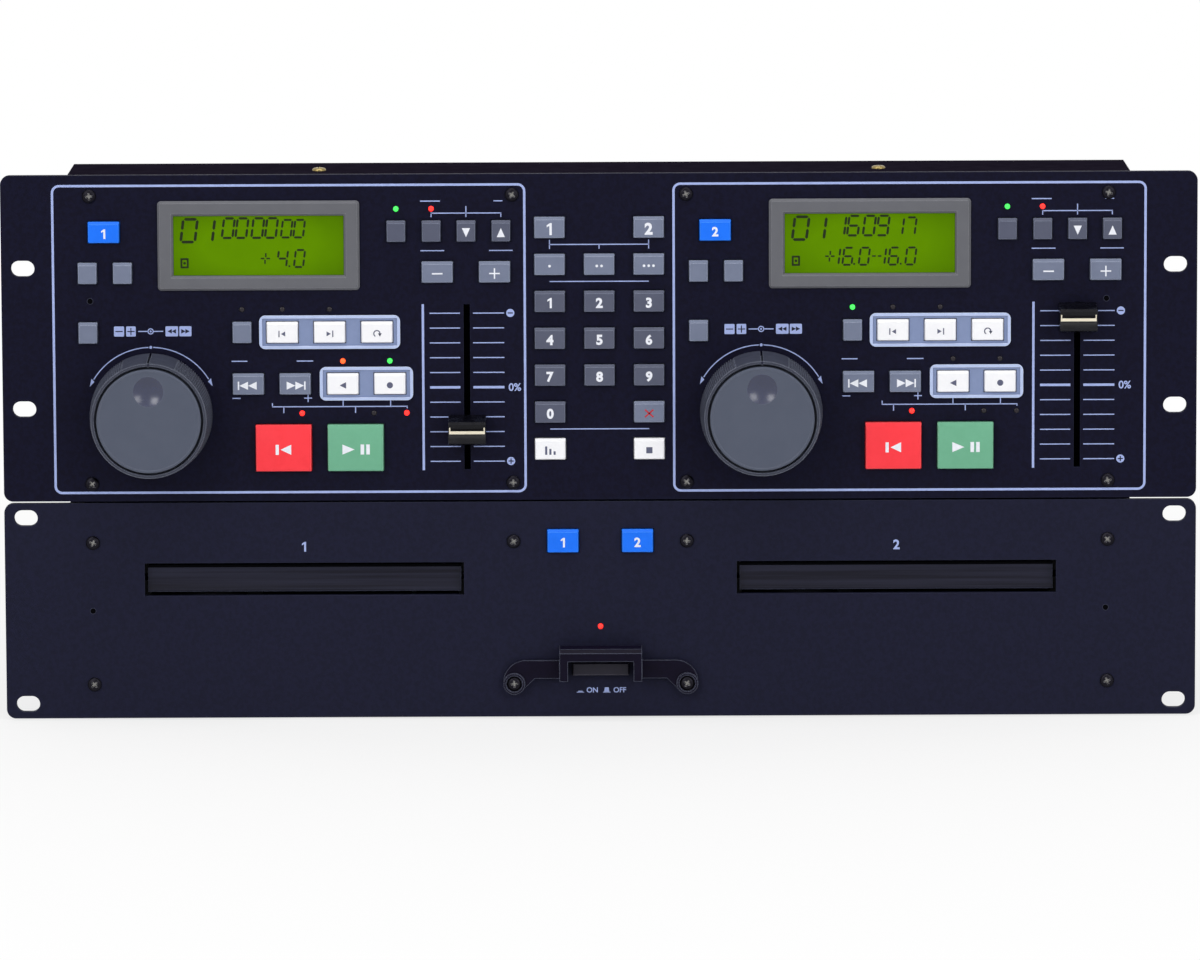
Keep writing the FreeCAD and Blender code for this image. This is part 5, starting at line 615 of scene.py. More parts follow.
for deck, centre in deckCentre.items():
    for points in deckLines:
        deckLine(centre, *points)
    mark.plus(centre + plusPrint["x"], down(plusPrint["v"]), plusPrint["size"], thin)
    # bracket over the three keys of the key control
    x1, x2, x3 = (centreOf(*keyBoxes[f"pitch_keys_{deck}"][i])[0] for i in (1, 2, 3))
    row, end, top = (down(tonePrint[name]) for name in ("bracket", "end", "top"))
    for points in ((x1 - thin / 2, row, x3 + thin / 2, row), (x1, row, x1, end), (x3, row, x3, end),
                   (x2, top, x2, end)):
        mark.line(*points, thin)
    # fader scale
    look = scalePrint
    deckLine(centre, *look["bar"], look["barWidth"])
    rows = [look["top"] + i * look["pitch"] for i in range(look["ticks"])]
    for i, v in enumerate(rows):
        for x1, x2 in look["spans"]:
            deckLine(centre, x1, v, x2, v, look["zeroWidth"] if i == look["zero"] else thin)
    mark.text(centre + look["zeroX"], down(rows[look["zero"]]), "0%", look["zeroHeight"])
    x = centre + look["signX"]
    for v in (rows[0], rows[-1]):
        mark.dot(x, down(v), look["signRadius"])
    darkMark.block(x, down(rows[0]), *look["sign"])
    darkMark.plus(x, down(rows[-1]), *look["sign"])
    # the dial's marks
    look = dialPrint
    dialX, dialZ = centreOf(*nodeBox(f"jog_dial_{deck}"))
    row = down(look["row"])
    for x, width in look["boxes"]:
        mark.area(roundedOutline(dialX + x, row, width, look["boxHeight"], 0.4, 3))
    minusX, plusX, backX, onX = (dialX + x for x, width in look["boxes"])
    darkMark.block(minusX, row, *look["sign"])
    darkMark.plus(plusX, row, *look["sign"])
    for x, way in ((backX, -1), (onX, 1)):
        for shift in (-look["arrowShift"], look["arrowShift"]):
            darkMark.arrow(x + shift, row, *look["arrow"], (way, 0))
    mark.ring(dialX, row, *look["eye"])
    mark.dot(dialX, row, look["eye"][1], 16)
    radius, end = look["arc"], look["arcEnd"]
    mark.arc(dialX, dialZ, radius, thin, 90 + look["arcGap"], 180 - end, 32)
    mark.arc(dialX, dialZ, radius, thin, end, 90 - look["arcGap"], 32)
    mark.dot(dialX, dialZ + radius, look["dot"], 16)
    angle = math.radians(end - 3.5)  # of the arrow heads, a little past the arc's ends
    for way in (-1, 1):
        mark.line(dialX + way * look["line"][0], row, dialX + way * look["line"][1], row, thin)
        tip = Vector((dialX + way * radius * math.cos(angle), dialZ + radius * math.sin(angle)))
        along = Vector((way * math.sin(angle), -math.cos(angle)))
        out = Vector((way * math.cos(angle), math.sin(angle)))
        mark.area([tuple(tip + along * 1.7), tuple(tip - along * 1.5 + out * 0.95),
                   tuple(tip - along * 0.9 - out * 0.75)])

# centre column
centrePrint = {"bracket": 28.7, "top": 26.8, "end": 30.5, "lines": [43.7, 103.7]}
columns = sorted({round(centreOf(*pair)[0], 2) for pair in keyBoxes["number_keys"]})
left, right = columns[0], columns[-1]
v, top, end = (centrePrint[name] for name in ("bracket", "top", "end"))
for points in [(left - thin / 2, v, right + thin / 2, v), (left, top, left, end), (right, top, right, end),
               (0, v, 0, end)] + [(left, v, right, v) for v in centrePrint["lines"]]:
    deckLine(0, *points)
mark.put("panel_print", printInk, "root", "control_panel_paint")
darkMark.put("panel_print_dark", darkInk, "root", "control_panel_paint")

# player panel: the trays' numbers, and the power switch's two positions with a key drawn out and in
playerPrint = {"numberRow": 151.4, "numberX": 120.0, "numberHeight": 4.0, "row": 210.6, "height": 2.2,
               "words": [("ON", -3.5), ("OFF", 7.7)], "signs": [(-8.3, 0.7), (2.4, 2.1)],
               "base": (0.95, 3.0, 0.3), "button": (1.05, 0.8)}
look = playerPrint
playerMark = Print(nodeBox("player_panel")[0].y)
for side, words in ((-1, "1"), (1, "2")):
    playerMark.text(side * look["numberX"], down(look["numberRow"]), words, look["numberHeight"], 0.03)
row = down(look["row"])
for words, x in look["words"]:
    playerMark.text(x, row, words, look["height"])
sunk, width, height = look["base"]
wide, narrow = look["button"]
for x, rise in look["signs"]:
    foot = row - sunk
    playerMark.block(x, foot, width, height)
    playerMark.area([(x - wide, foot), (x + wide, foot), (x + narrow, foot - 0.1 + rise),
                     (x - narrow, foot - 0.1 + rise)])
playerMark.put("player_print", printInk, "root", "player_panel_paint")
print("panel print made")


# a key's face sits a little low on the key, under its broad top bevel
def faceOf(node, i):
    x, z = centreOf(*keyBoxes[node][i])
    return x, z - keyShape["topBevel"] / 2


# Print on keys rides with them.  Each mark: how it is drawn, on which key, how far from the middle
# of the key's face, and its measures.
def putMarks(name, node, ink, slotName, marks):
    sheet = Print(keyBoxes[node][0][0].y)
    for draw, i, shiftX, shiftZ, *measures in marks:
        x, z = faceOf(node, i)
        draw(sheet, x + shiftX, z + shiftZ, *measures)
    sheet.put(name, ink, node, slotName)


numerals = [(Print.text, i, 0, 0, digit, 4.2, 0.045) for i, digit in enumerate("1234567890")]
putMarks("numerals", "number_keys", whiteInk, "dark_key", numerals)
deckNumbers = [(Print.text, i, 0, 0, digit, 4.9, 0.045) for i, digit in enumerate("12")]
# plain dots, one to three, tell the three memory keys apart
memoryDots = [(Print.dot, i, (dot - (i - 2) / 2) * 1.9, 0, 0.55, 20)
              for i in (2, 3, 4) for dot in range(i - 1)]
putMarks("function_marks", "function_keys", whiteInk, "grey_key", deckNumbers + memoryDots)
putMarks("clear_mark", "function_keys", redInk, "grey_key",
         [(Print.stroke, 5, 0, 0, 1.7, rise, 0.6) for rise in (-1.5, 1.5)])
fallingBars = [(Print.block, whiteFunctionKeys[0], (i - 1) * 1.7, -0.5 * i, 0.85, 3.4 - i) for i in range(3)]
putMarks("effect_marks", "function_keys", greyInk, "white_key",
         fallingBars + [(Print.block, whiteFunctionKeys[1], 0, 0, 2.5, 2.5)])
for node in ("open_keys", "player_open_keys"):
    putMarks("numerals_" + node, node, whiteInk, "blue_key",
             [(Print.text, i, 0, 0, digit, 3.9, 0.035) for i, digit in enumerate("12")])
deckMarks = {
    "pitch_keys": (whiteInk, [
        (Print.arrow, 2, 0, 0, 3.7, 3.3, (0, -1)), (Print.arrow, 3, 0, 0, 3.7, 3.3, (0, 1))]),
    "bend_keys": (whiteInk, [
        (Print.block, 0, 0, 0, 4.3, 0.6), (Print.plus, 1, 0, 0, 4.3, 0.55)]),
    "track_keys": (whiteInk, [
        (Print.block, 0, -3.95, 0, 0.6, 3.4), (Print.arrow, 0, -1.85, 0, 3.5, 3.3, (-1, 0)),
        (Print.arrow, 0, 1.65, 0, 3.5, 3.3, (-1, 0)), (Print.block, 1, 3.95, 0, 0.6, 3.4),
        (Print.arrow, 1, -1.65, 0, 3.5, 3.3, (1, 0)), (Print.arrow, 1, 1.85, 0, 3.5, 3.3, (1, 0))]),
    "play_key": (whiteInk, [
        (Print.arrow, 0, -2.9, 0, 4.9, 4.1, (1, 0)), (Print.block, 0, 2.7, 0, 1.45, 4.1),
        (Print.block, 0, 5.0, 0, 1.45, 4.1)]),
    "cue_key": (whiteInk, [
        (Print.block, 0, -2.6, 0, 1.3, 4.1), (Print.arrow, 0, 0.9, 0, 4.3, 4.1, (-1, 0))]),
    # loop in and loop out, each a bar and an arrow head towards it, and loop again
    "loop_keys": (greyInk, [
        (Print.block, 0, -1.3, 0, 0.45, 2.6), (Print.arrow, 0, 0.35, 0, 1.7, 2.0, (-1, 0)),
        (Print.block, 1, 1.3, 0, 0.45, 2.6), (Print.arrow, 1, -0.35, 0, 1.7, 2.0, (1, 0)),
        (Print.arc, 2, 0, 0, 1.25, 0.45, -30, 240, 20), (Print.arrow, 2, 1.2, -0.55, 1.3, 1.5, (0, -1))]),
    "sampler_keys": (greyInk, [
        (Print.arrow, 0, 0, 0, 2.6, 2.6, (-1, 0)), (Print.dot, 1, 0, 0, 1.25)]),
}
for deck in (1, 2):
    for group, (ink, marks) in deckMarks.items():
        putMarks(f"marks_{group}_{deck}", f"{group}_{deck}", ink, keySlot[group], marks)
print("key print made")


# Displays: a green liquid crystal behind clear glass, lit from the middle
crystalLook = {"bright": "#547d00", "dim": "#3f6200", "cloud": 9.0, "fadeFrom": (0.6, 1.35),
               "fadeTo": (-0.1, 0.8), "cloudShare": 0.3, "rough": (0.3, 0.42), "waves": 0.01,
               "settings": {"Emission Strength": 0.32, "Coat Weight": 0.04, "Coat Roughness": 0.06,
                            "Specular IOR Level": 0.0}}


def makeLiquidCrystal():
    look = crystalLook
    material, tree = newMaterial("litLiquidCrystalGreen")
    place = addNode(tree, "ShaderNodeTexCoord").outputs["Object"]
    parts = addNode(tree, "ShaderNodeSeparateXYZ", {}, {"Vector": place})
    # the same lamp stands behind both glasses, one deck's pitch apart
    low, high = displayBoxes[0]
    glassX, glassZ = (share * mm for share in centreOf(low, high))
    half = deckPitch * mm / 2
    onDeck = addNode(tree, "ShaderNodeMath", {"operation": "WRAP", 1: glassX + half, 2: glassX - half},
                     {0: parts.outputs["X"]})
    beside = addRange(tree, onDeck.outputs["Value"], (glassX, high.x * mm), clamp=False)
    above = addRange(tree, parts.outputs["Z"], (glassZ, high.z * mm), clamp=False)
    spread = addNode(tree, "ShaderNodeCombineXYZ", {}, {"X": beside, "Y": above})
    away = addNode(tree, "ShaderNodeVectorMath", {"operation": "LENGTH"}, {0: spread.outputs["Vector"]})
    cloud = addNoise(tree, place, 1 / (look["cloud"] * mm))
    fade = addRange(tree, away.outputs["Value"], look["fadeFrom"], look["fadeTo"])
    blotch = addNode(tree, "ShaderNodeMath", {"operation": "MULTIPLY_ADD", 1: look["cloudShare"]},
                     {0: cloud, 2: fade})
    tone = addMix(tree, blotch.outputs["Value"], look["bright"], look["dim"])
    shader = addPrincipled(tree, look["settings"], tone, addRange(tree, cloud, (0.0, 1.0), look["rough"]),
                           cloud, look["waves"])
    tree.links.new(shader.inputs["Emission Color"], tone)
    return material


displayBoxes = solidsOf("display_screens")
dress("display_screens", makeLiquidCrystal())
# segments of a digit on a unit cell, 0..1 across and 0..1 up: top, upper right, lower right, bottom,
# lower left, upper left and middle
digitSegments = {"0": "abcdef", "1": "bc", "4": "fgbc", "6": "afgedc", "7": "abc", "9": "abcdfg"}
segmentEnds = {"a": ((0, 1), (1, 1)), "b": ((1, 1), (1, 0.5)), "c": ((1, 0.5), (1, 0)), "d": ((1, 0), (0, 0)),
               "e": ((0, 0), (0, 0.5)), "f": ((0, 0.5), (0, 1)), "g": ((0, 0.5), (1, 0.5))}
digitLook = {"slant": 0.13, "gap": 0.28}


def putDigit(sheet, digit, left, low, width, height, weight):
    for name in digitSegments[digit]:
        ends = [Vector((left + u * width + v * height * digitLook["slant"], low + v * height))
                for u, v in segmentEnds[name]]
        along = (ends[1] - ends[0]).normalized()
        side = Vector((-along.y, along.x)) * weight / 2
        a = ends[0] + along * digitLook["gap"]
        b = ends[1] - along * digitLook["gap"]
        tip = along * weight / 2
        sheet.area([tuple(p) for p in (a, a + tip - side, b - tip - side, b, b - tip + side, a + tip + side)])


# a sign has a dash at each side, and a bar above and one below when it is a plus
def putSign(sheet, x, z, sign):
    look = displayLook["sign"]
    for side in (-1, 1):
        sheet.block(x + side * look["reach"], z, look["dash"], look["weight"])
        if sign == "+":
            lean = side * look["rise"] * digitLook["slant"]
            sheet.block(x + lean, z + side * look["rise"], look["weight"], look["bar"])


# where things stand on a display: columns from the deck's centre line, rows from the panel's top
clockDigits = {"row": 25.4, "width": 4.3, "height": 7.9, "weight": 0.92}
lowerDigits = {"row": 37.3, "width": 3.7, "height": 6.9, "weight": 0.8}
displayLook = {
    "track": {"columns": (-45.4, -38.4), "row": 27.0, "width": 5.7, "height": 9.2, "weight": 1.1},
    "minutes": {"columns": (-28.8, -23.3), **clockDigits},
    "seconds": {"columns": (-16.9, -11.4), **clockDigits},
    "frames": {"columns": (-5.0, 0.0), "row": 25.3, "width": 3.9, "height": 7.1, "weight": 0.82},
    "key": {"columns": (-30.5, -25.2, -18.6), **lowerDigits},
    "tempo": {"columns": (-12.0, -6.7, 0.15), **lowerDigits},
    "signs": {"key": -30.2, "tempo": -11.3}, "points": {"key": -20.4, "tempo": -1.65}, "signRow": 33.8,
    "point": (0.35, 0.7),
    "sign": {"reach": 1.15, "dash": 1.45, "weight": 0.6, "rise": 1.35, "bar": 1.6},
    "mark": {"x": -43.9, "row": 35.6, "width": 3.3, "height": 4.1, "border": 0.75, "dot": 0.55},
}
displayShows = {
    1: {"track": "01", "minutes": "00", "seconds": "00", "frames": "00", "tempo": "+ 40"},
    2: {"track": "01", "minutes": "16", "seconds": "09", "frames": "17", "key": "+160", "tempo": "-160"},
}
for deck, shows in displayShows.items():
    centre = deckCentre[deck]
    sheet = Print(displayBoxes[deck - 1][0].y)
    for field, words in shows.items():
        look = displayLook[field]
        measures = look["width"], look["height"], look["weight"]
        if field in displayLook["signs"]:
            sign, words = words[0], words[1:]
            putSign(sheet, centre + displayLook["signs"][field], down(displayLook["signRow"]), sign)
            rise, size = displayLook["point"]
            sheet.block(centre + displayLook["points"][field], down(look["row"] - rise), size, size)
        for digit, column in zip(words, look["columns"]):
            if digit != " ":
                putDigit(sheet, digit, centre + column, down(look["row"]), *measures)
    look = displayLook["mark"]
    x, z = centre + look["x"], down(look["row"])
    width, height, border = look["width"], look["height"], 2 * look["border"]
    sheet.band(roundedOutline(x, z, width, height, 0.25, 2),
               roundedOutline(x, z, width - border, height - border, 0.1, 2))
    sheet.dot(x, z, look["dot"], 16)
    sheet.put(f"segments_{deck}", segmentDye, "root", "screen_glass")
print("displays made")


# Diffusing epoxy lenses, lit or dark: a moulded dome with a faintly rippled skin
def lens(name, colour, glow=None):
    return makeFinish(name, colour, colour, patch=2.0, rough=(0.18, 0.26), bump=(0.6, 0.008), edge=0.1,
                      coat=0.3, glow=glow)


lensFinish = {"red": lens("litRedEpoxyLens", "#ff2a26", ("#ff2a22", 1.6)),
              "green": lens("litGreenEpoxyLens", "#48e85a", ("#38e050", 1.1)),
              "orange": lens("litOrangeEpoxyLens", "#ff5a22", ("#ff5220", 1.4)),
              "off": lens("darkEpoxyLens", "#1a131c")}
# which lamps glow, by place from the deck's centre line and the panel's top; the rest are dark
lampStates = {1: {(41.8, 14.0): "green", (55.8, 14.0): "red", (19.6, 76.0): "orange", (38.6, 75.5): "green",
                  (3.0, 96.9): "red", (45.3, 96.9): "red"},
              2: {(41.8, 14.0): "green", (55.8, 14.0): "red", (-20.7, 54.6): "green", (3.0, 96.9): "red"}}
lampMatch = 2.2  # how near a lamp has to be to its listed place
lampShown = 1.5  # lamps' solids are measured in front of this depth behind the panel's face
lampRadius = 1.05
lampDome = [(1.0, 0.25), (0.85, 0.08), (0.45, 0.0)]  # shares of the radius, and depths from the tip
for low, high in solidsOf("lamps", frontY + lampShown):
    x, z = centreOf(low, high)
    state = "red" if z < playerTop else "off"
    for deck, states in lampStates.items():
        for (column, row), colour in states.items():
            if math.hypot(deckCentre[deck] + column - x, down(row) - z) < lampMatch:
                state = colour
    shape = bmesh.new()
    rows = [(1.0, high.y)] + [(share, low.y + depth) for share, depth in lampDome]
    loft(shape, [atDepth(circleOutline(x, z, lampRadius * share, 24), y) for share, y in rows])
    addPiece(f"lens_{round(x)}_{round(z)}", toMesh(shape, "lens", 50), lensFinish[state], "root",
             ["lamps"])
print("lamps made")


# Turned forms: a profile of (radius, y) goes round an axis at x and z
def lathe(profile, x, z, steps, radiusAt=lambda i, k, radius: radius):
    turns = [2 * math.pi * k / steps for k in range(steps)]
    return [[(x + radiusAt(i, k, radius) * math.cos(turn), y, z + radiusAt(i, k, radius) * math.sin(turn))
             for k, turn in enumerate(turns)] for i, (radius, y) in enumerate(profile)]


def booleanCut(shape, cutter, name, sharpAngle):
    body = newObject(name, toMesh(shape, name))
    tool = newObject(name + "Tool", toMesh(cutter, "tool"))
    change = body.modifiers.new("cut", "BOOLEAN")
    change.operation = "DIFFERENCE"
    change.solver = "EXACT"
    change.object = tool
    mesh = evaluated(body)
    bpy.data.objects.remove(tool)
    mesh.materials.clear()
    smooth(mesh, sharpAngle)
    mesh.name = name
    return mesh


dialLook = {"radius": 21.0, "rimWidth": 0.9, "rimStep": 0.18, "rimSlope": 0.25, "edge": 0.5, "inner": 2.5,
            "thickness": 5.0, "shaft": 3.0, "dimpleRadius": 6.1, "dimpleAbove": 12.0, "dimpleDepth": 1.7,
            "steps": 128}


def makeDial(deck):
    node = f"jog_dial_{deck}"
    low, high = nodeBox(node)
    x, z = centreOf(low, high)
    look = dialLook
    radius, edge, rimStep, depth = (look[key] for key in ("radius", "edge", "rimStep", "dimpleDepth"))
    face = low.y
    rim = radius - look["rimWidth"]
    shape = bmesh.new()
    back = face + look["thickness"]
    loft(shape, lathe([
        (look["shaft"], high.y), (look["shaft"], back), (radius, back), (radius, face + edge),
        (radius - edge * 0.3, face + edge * 0.3), (radius - edge, face), (rim, face),
        (rim - look["rimSlope"], face + rimStep), (radius - look["inner"], face + rimStep)],
        x, z, look["steps"]))
    # the dimple is a ball's cap, of that radius and depth
    ball = (look["dimpleRadius"] ** 2 + depth ** 2) / (2 * depth)
    cutter = bmesh.new()
    bmesh.ops.create_uvsphere(cutter, u_segments=96, v_segments=64, radius=ball * mm)
    bmesh.ops.rotate(cutter, matrix=Matrix.Rotation(math.radians(90), 3, "X"), verts=cutter.verts)
    spot = Vector((x, face + rimStep + depth - ball, z + look["dimpleAbove"])) * mm
    bmesh.ops.translate(cutter, vec=spot, verts=cutter.verts)
    mesh = booleanCut(shape, cutter, f"dial_{deck}", 25)
    addPiece(f"dial_{deck}", mesh, dialAbs, node, [node])

    def inDimple(polygon):
        middle = polygon.center / mm
        near = math.hypot(middle.x - x, middle.z - z - look["dimpleAbove"]) < look["dimpleRadius"]
        return near and face + rimStep + 0.02 < middle.y < face + depth + 1
    # the dimple's faces take the dark glossy finish: real gloss, and a painted shade for the hollow
    dressFaces(mesh, dimpleShadeAbs, inDimple)
    return back


# the knurl is drawn a little coarser than the real one, so that it shows
ringLook = {"radius": 24.8, "lip": 23.3, "bore": 21.9, "teeth": 150, "toothDepth": 0.5, "landAngle": 27.0,
            "notchHalf": 0.9, "notchDepth": 1.9, "notchMark": 0.7, "wall": 2.6, "web": 2.5, "webGap": 0.4,
            "sleeve": 5.0, "sleeveWall": 1.6, "lift": 0.6, "toothRows": range(6, 10)}


def makeRing(deck, dialBack):
    node = f"shuttle_ring_{deck}"
    x, z = centreOf(*nodeBox(f"jog_dial_{deck}"))
    low, high = nodeBox(node)
    look = ringLook
    radius, lip, bore, sleeve = (look[key] for key in ("radius", "lip", "bore", "sleeve"))
    front = low.y
    foot = frontY - look["lift"]
    web = dialBack + look["webGap"]
    webBack = web + look["web"]
    inside = sleeve - look["sleeveWall"]
    profile = [
        (inside, web), (bore, web), (bore, front + 0.3), (bore + 0.3, front), (lip - 0.2, front),
        (lip, front + 0.15), (lip + 0.12, front + 0.4), (lip + 0.45, front + 2.6), (radius, foot - 2.5),
        (radius, foot), (radius - look["wall"], foot), (radius - look["wall"], webBack), (sleeve, webBack),
        (sleeve, high.y), (inside, high.y)]
    steps = look["teeth"] * 4

    def knurled(i, k, plain):
        fromTop = abs((360 * k / steps + 90) % 360 - 180)
        if i not in look["toothRows"]:
            return plain
        if fromTop < look["notchHalf"]:
            return plain - look["notchDepth"]
        if fromTop < look["landAngle"]:
            return plain
        return plain - look["toothDepth"] * (0, 0.5, 1, 0.5)[k % 4]
    shape = bmesh.new()
    loftRing(shape, lathe(profile, x, z, steps, knurled))
    addPiece(f"ring_{deck}", toMesh(shape, f"ring_{deck}", 32), ringRubber, node, [node])
    notchMark = Print(front)  # the notch goes on across the lip as a painted line
    notchMark.line(x, z + bore + 0.3, x, z + lip - 0.1, look["notchMark"])
    notchMark.put(f"notch_mark_{deck}", darkInk, node, "ring_grey")


for deck in (1, 2):
    makeRing(deck, makeDial(deck))
print("dials and rings made")

# A fader's cap is a saddle between two crests, with the pointer line in its valley.  Half its
# profile: shares of the half height, and how far they lie behind the crests' tops
capLook = {"width": 15.2, "height": 12.0, "saddle": 2.2, "lift": 0.6, "edge": 0.4, "stem": (0.7, 2.0),
           "stemBack": 3.0, "foot": (4.5, 3.5), "flat": 0.6, "flatRise": 0.08,
           "profile": [(0.5, 0.25), (0.6, 0.0), (0.72, 0.3), (0.82, 1.5)]}
lineLook = {"reach": 7.2, "half": 0.6, "tick": 0.5, "tickRise": 2.2, "sunk": 0.16, "proud": 0.05,
            "tickSunk": 0.14, "tickProud": 0.1}
for deck in (1, 2):
    node = f"pitch_fader_{deck}"
    low, high = nodeBox(node)
    x, z = centreOf(low, high)
    look = capLook
    half = look["height"] / 2
    front = low.y
    back = frontY - look["lift"]
    valley = front + look["saddle"]
    rising = [(look["flat"], valley - look["flatRise"])]
    rising += [(half * share, front + depth) for share, depth in look["profile"]] + [(half, back)]
    profile = [(-rise, y) for rise, y in rising[::-1]] + [(0, valley)] + rising

    def section(along, shrink):
        centre = (front + back) / 2
        return [(x + along, y + (shrink if y < centre else 0), z + rise * (1 - shrink / half))
                for rise, y in profile]
    shape = bmesh.new()
    end, edge = look["width"] / 2, look["edge"]
    loft(shape, [section(-end, edge), section(-end + edge * 0.3, edge * 0.3), section(-end + edge, 0),
                 section(end - edge, 0), section(end - edge * 0.3, edge * 0.3), section(end, edge)])
    stemX, stemZ = look["stem"]
    box(shape, (x - stemX, back - 0.01, z - stemZ), (x + stemX, high.y - look["stemBack"], z + stemZ))
    inset, footZ = look["foot"]
    box(shape, (low.x + inset, high.y - inset, z - footZ), (high.x - inset, high.y, z + footZ))
    addPiece(f"fader_cap_{deck}", toMesh(shape, "fader_cap", 22), faderAbs, node, [node])
    # the line turns up at both ends along the saddle's slope
    share, depth = look["profile"][0]
    slope = (look["saddle"] - look["flatRise"] - depth) / (half * share - look["flat"])
    look = lineLook
    reach, half, rise = look["reach"], look["half"], look["tickRise"]
    line = bmesh.new()
    sunk, proud = valley - look["sunk"], valley + look["proud"]
    box(line, (x - reach, sunk, z - half), (x + reach, proud, z + half))
    top = valley - slope * (rise - capLook["flat"])
    for side in (-1, 1):
        left, right = sorted((x + side * (reach - look["tick"]), x + side * reach))
        loft(line, [[(left, y1, height), (right, y1, height), (right, y2, height), (left, y2, height)]
                    for y1, y2, height in ((sunk, proud, z + half - 0.05),
                                           (top - look["tickSunk"], top + look["tickProud"], z + rise))])
    addPiece(f"fader_line_{deck}", toMesh(line, "fader_line", 30), creamInk, node)
print("fader caps made")


# Screws: pan heads with a cross recess, and shanks; a head's top stands at -headRise on its axis
headRise = 1.3
headProfile = [(1.5, 7.0), (1.5, 0.0), (2.8, 0.0), (2.8, -0.45), (2.6, -0.8), (2.1, -1.12), (1.4, -1.27),
               (0.6, -headRise)]
crossArm = [(1.55, 0.34), (1.0, 0.4), (0.4, 0.4), (0.4, 1.0), (0.34, 1.55)]
crossCut = [(1, -2.0), (0.7, -0.1)]  # how the cross narrows from above the head to the recess's floor
wornGlintSpot = {"radius": 0.75, "top": -1.25}


def makeScrewMesh(name, material):
    shape = bmesh.new()
    loft(shape, lathe(headProfile, 0, 0, 32))
    cross = crossArm + [(-b, a) for a, b in crossArm]
    cross += [(-a, -b) for a, b in cross]
    cutter = bmesh.new()
    loft(cutter, [[(a * taper, y, b * taper) for a, b in cross] for taper, y in crossCut])
    mesh = booleanCut(shape, cutter, name, 35)
    mesh.materials.append(material)
    # the recess's floor is dressed bright: driver wear and a painted glint
    radius, top = wornGlintSpot["radius"] * mm, wornGlintSpot["top"] * mm
    dressFaces(mesh, wornGlintSteel,
               lambda face: math.hypot(face.center.x, face.center.z) < radius and face.center.y > top)
    return mesh


spinFirst, spinStep = 11, 37  # degrees, so that no two crosses stand alike
frontScrew = makeScrewMesh("front_screw", blackScrew)
caseScrew = makeScrewMesh("case_screw", yellowScrew)
screwBoxes = solidsOf("screws")
for number, (low, high) in enumerate(screwBoxes):
    seat = (low + high) / 2
    size = high - low
    axis = max(range(3), key=lambda i: size[i])
    side = 1 if seat.x > 0 else -1
    if axis == 1:  # in a front panel
        turn = Matrix.Identity(4)
        seat.y = low.y + headRise
    elif axis == 2:  # in a cover's top
        turn = Matrix.Rotation(math.radians(-90), 4, "X")
        seat.z = high.z - headRise
    else:  # in a cover's side
        turn = Matrix.Rotation(math.radians(90 * side), 4, "Z")
        seat.x = high.x - headRise if side > 0 else low.x + headRise
    spin = Matrix.Rotation(math.radians(spinStep * number + spinFirst), 4, "Y")
    mesh = (frontScrew if axis == 1 else caseScrew).copy()
    mesh.transform(Matrix.Translation(seat * mm) @ turn @ spin)
    addPiece(f"screw_{number}", mesh, mesh.materials[0], "root", ["screws"])
# the guard's two screws sit in raised bosses
bossLook = {"outer": 4.5, "inner": 3.1, "rise": 1.15, "edge": 0.3, "sunk": 0.05, "row": 207.5, "x": 35.2,
            "match": 2}
look = bossLook
for low, high in screwBoxes:
    x, z = centreOf(low, high)
    if abs(z - down(look["row"])) < look["match"] and abs(abs(x) - look["x"]) < look["match"]:
        inner, outer, edge = look["inner"], look["outer"], look["edge"]
        front = low.y + headRise - look["rise"]
        back = low.y + headRise + look["sunk"]
        shape = bmesh.new()
        loftRing(shape, lathe([(inner, back), (outer, back), (outer, front + edge), (outer - edge, front),
                               (inner + edge, front), (inner, front + edge)], x, z, 48))
        addPiece(f"guard_boss_{1 if x < 0 else 2}", toMesh(shape, "guard_boss"), guardPaint, "root")
print("screws made")

# small blind holes in the panels, each a dark disc of painted shade in a pale ring of painted highlight
holeMarks = {"control_panel": [(-205.5, 51.0), (204.7, 51.4)],
             "player_panel": [(-205.8, 177.4), (204.8, 177.5)]}
holeLook = {"radius": 1.1, "rimHighlight": (1.28, 0.14)}
for node, spots in holeMarks.items():
    sheet, rimHighlight = (Print(nodeBox(node)[0].y) for i in range(2))
    for x, v in spots:
        sheet.dot(x, down(v), holeLook["radius"])
        rimHighlight.ring(x, down(v), *holeLook["rimHighlight"])
    sheet.put("hole_shade_" + node, paintedShadeAbs, "root", node + "_paint")
    rimHighlight.put("hole_rim_highlight_" + node, holeRimHighlight, "root", node + "_paint")
print("holes marked")

# Studio: pale floor, white surroundings for the camera, soft lamps.  The floor shows its own shade
# near the object and fades to plain white further off, for rays from the camera, mirrors and glass
# only, so it throws no more light on the object.
floorLook = {"colour": "#f4f4f4", "grain": 3.0, "rough": (0.7, 0.85), "fade": (0.2, 0.75),
             "nearWhite": 0.68, "size": 6}
fillLight = 0.45  # what the surroundings give to the object


def rayMask(tree):
    rays = addNode(tree, "ShaderNodeLightPath")
    seen = addNode(tree, "ShaderNodeMath", {"operation": "MAXIMUM"},
                   {0: rays.outputs["Is Camera Ray"], 1: rays.outputs["Is Glossy Ray"]})
    return addNode(tree, "ShaderNodeMath", {"operation": "MAXIMUM"},
                   {0: seen.outputs["Value"], 1: rays.outputs["Is Transmission Ray"]}).outputs["Value"]


def mixShaders(tree, share, first, second):
    return addNode(tree, "ShaderNodeMixShader", {}, {0: share, 1: first, 2: second}).outputs["Shader"]


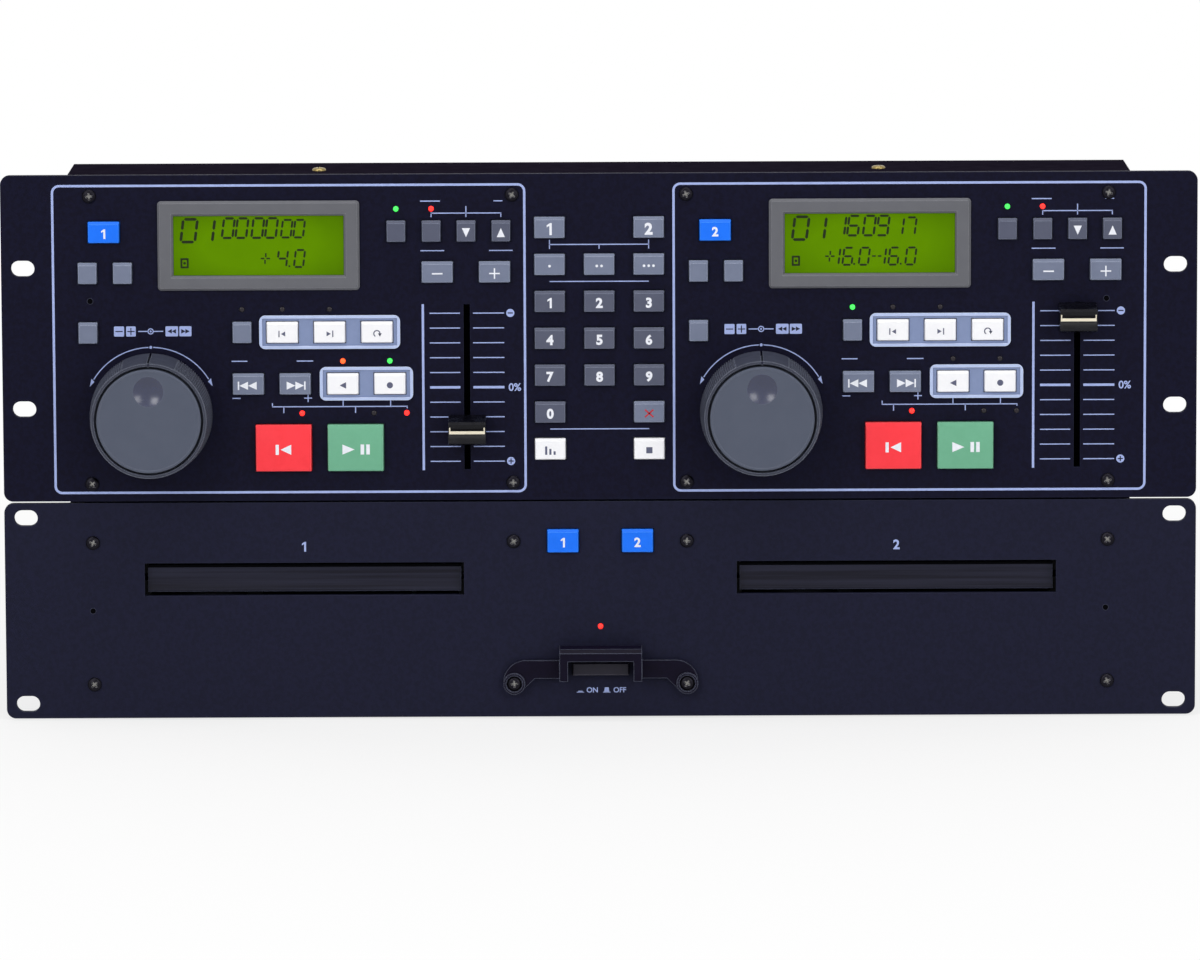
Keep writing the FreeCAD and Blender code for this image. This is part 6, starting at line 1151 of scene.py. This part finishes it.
def makeFloor():
    look = floorLook
    material, tree = newMaterial("studioFloor")
    place = addNode(tree, "ShaderNodeTexCoord").outputs["Object"]
    rough = addRange(tree, addNoise(tree, place, look["grain"]), (0.0, 1.0), look["rough"])
    shader = addNode(tree, "ShaderNodeBsdfPrincipled", {"Base Color": hexColour(look["colour"])},
                     {"Roughness": rough})
    away = addNode(tree, "ShaderNodeVectorMath", {"operation": "LENGTH"}, {0: place})
    fade = addRange(tree, away.outputs["Value"], look["fade"], (look["nearWhite"], 1.0))
    share = addNode(tree, "ShaderNodeMath", {"operation": "MULTIPLY"}, {0: fade, 1: rayMask(tree)})
    white = addNode(tree, "ShaderNodeEmission", {"Strength": 1.0})
    either = mixShaders(tree, share.outputs["Value"], shader.outputs["BSDF"], white.outputs["Emission"])
    addNode(tree, "ShaderNodeOutputMaterial", {}, {"Surface": either})
    return material


floorShape = bmesh.new()
bmesh.ops.create_grid(floorShape, x_segments=1, y_segments=1, size=floorLook["size"])
floorMesh = bpy.data.meshes.new("floor")
floorShape.to_mesh(floorMesh)
floorShape.free()
floorMesh.materials.append(makeFloor())
floor = newObject("floor", floorMesh)

world = bpy.data.worlds.new("studio")
bpy.context.scene.world = world
world.use_nodes = True
worldTree = world.node_tree
worldTree.nodes.clear()
dim, white = (addNode(worldTree, "ShaderNodeBackground", {"Color": (1, 1, 1, 1), "Strength": strength})
              for strength in (fillLight, 1.0))
either = mixShaders(worldTree, rayMask(worldTree), dim.outputs["Background"], white.outputs["Background"])
addNode(worldTree, "ShaderNodeOutputWorld", {}, {"Surface": either})

# area lamps: place, what they face, their two sides in metres and their power in watts
lampTable = {"overhead": ((0, -0.5, 1.9), (0, 0, 0.1), (1.6, 1.0), 13.5),
             "frontLeft": ((-1.1, -1.7, 1.1), (0, -0.1, 0.1), (0.9, 0.9), 9.5),
             "frontRight": ((1.2, -1.6, 0.9), (0, -0.1, 0.1), (0.9, 0.9), 7.5)}
for name, (place, target, size, power) in lampTable.items():
    light = bpy.data.lights.new(name, "AREA")
    light.shape = "RECTANGLE"
    light.size, light.size_y = size
    light.energy = power
    lamp = newObject(name, light)
    lamp.location = place
    lamp.rotation_euler = (Vector(target) - Vector(place)).to_track_quat("-Z", "Y").to_euler()

# The camera stands far off and a little above, so that the front shows nearly square
cameraLook = {"distance": 3.4, "elevation": 7.7, "lens": 252.0, "targetZ": 97.3, "roll": -0.235}
camera = newObject("camera", bpy.data.cameras.new("camera"))
rise = math.radians(cameraLook["elevation"])
target = Vector((0, frontY, cameraLook["targetZ"])) * mm
camera.location = target + Vector((0, -math.cos(rise), math.sin(rise))) * cameraLook["distance"]
facing = (target - camera.location).to_track_quat("-Z", "Y").to_matrix().to_4x4()
camera.rotation_euler = (facing @ Matrix.Rotation(math.radians(cameraLook["roll"]), 4, "Z")).to_euler()
camera.data.lens = cameraLook["lens"]
camera.data.sensor_width = 36
camera.data.clip_end = 20
bpy.context.scene.camera = camera
bpy.context.scene.view_settings.view_transform = "Standard"
print("studio made")
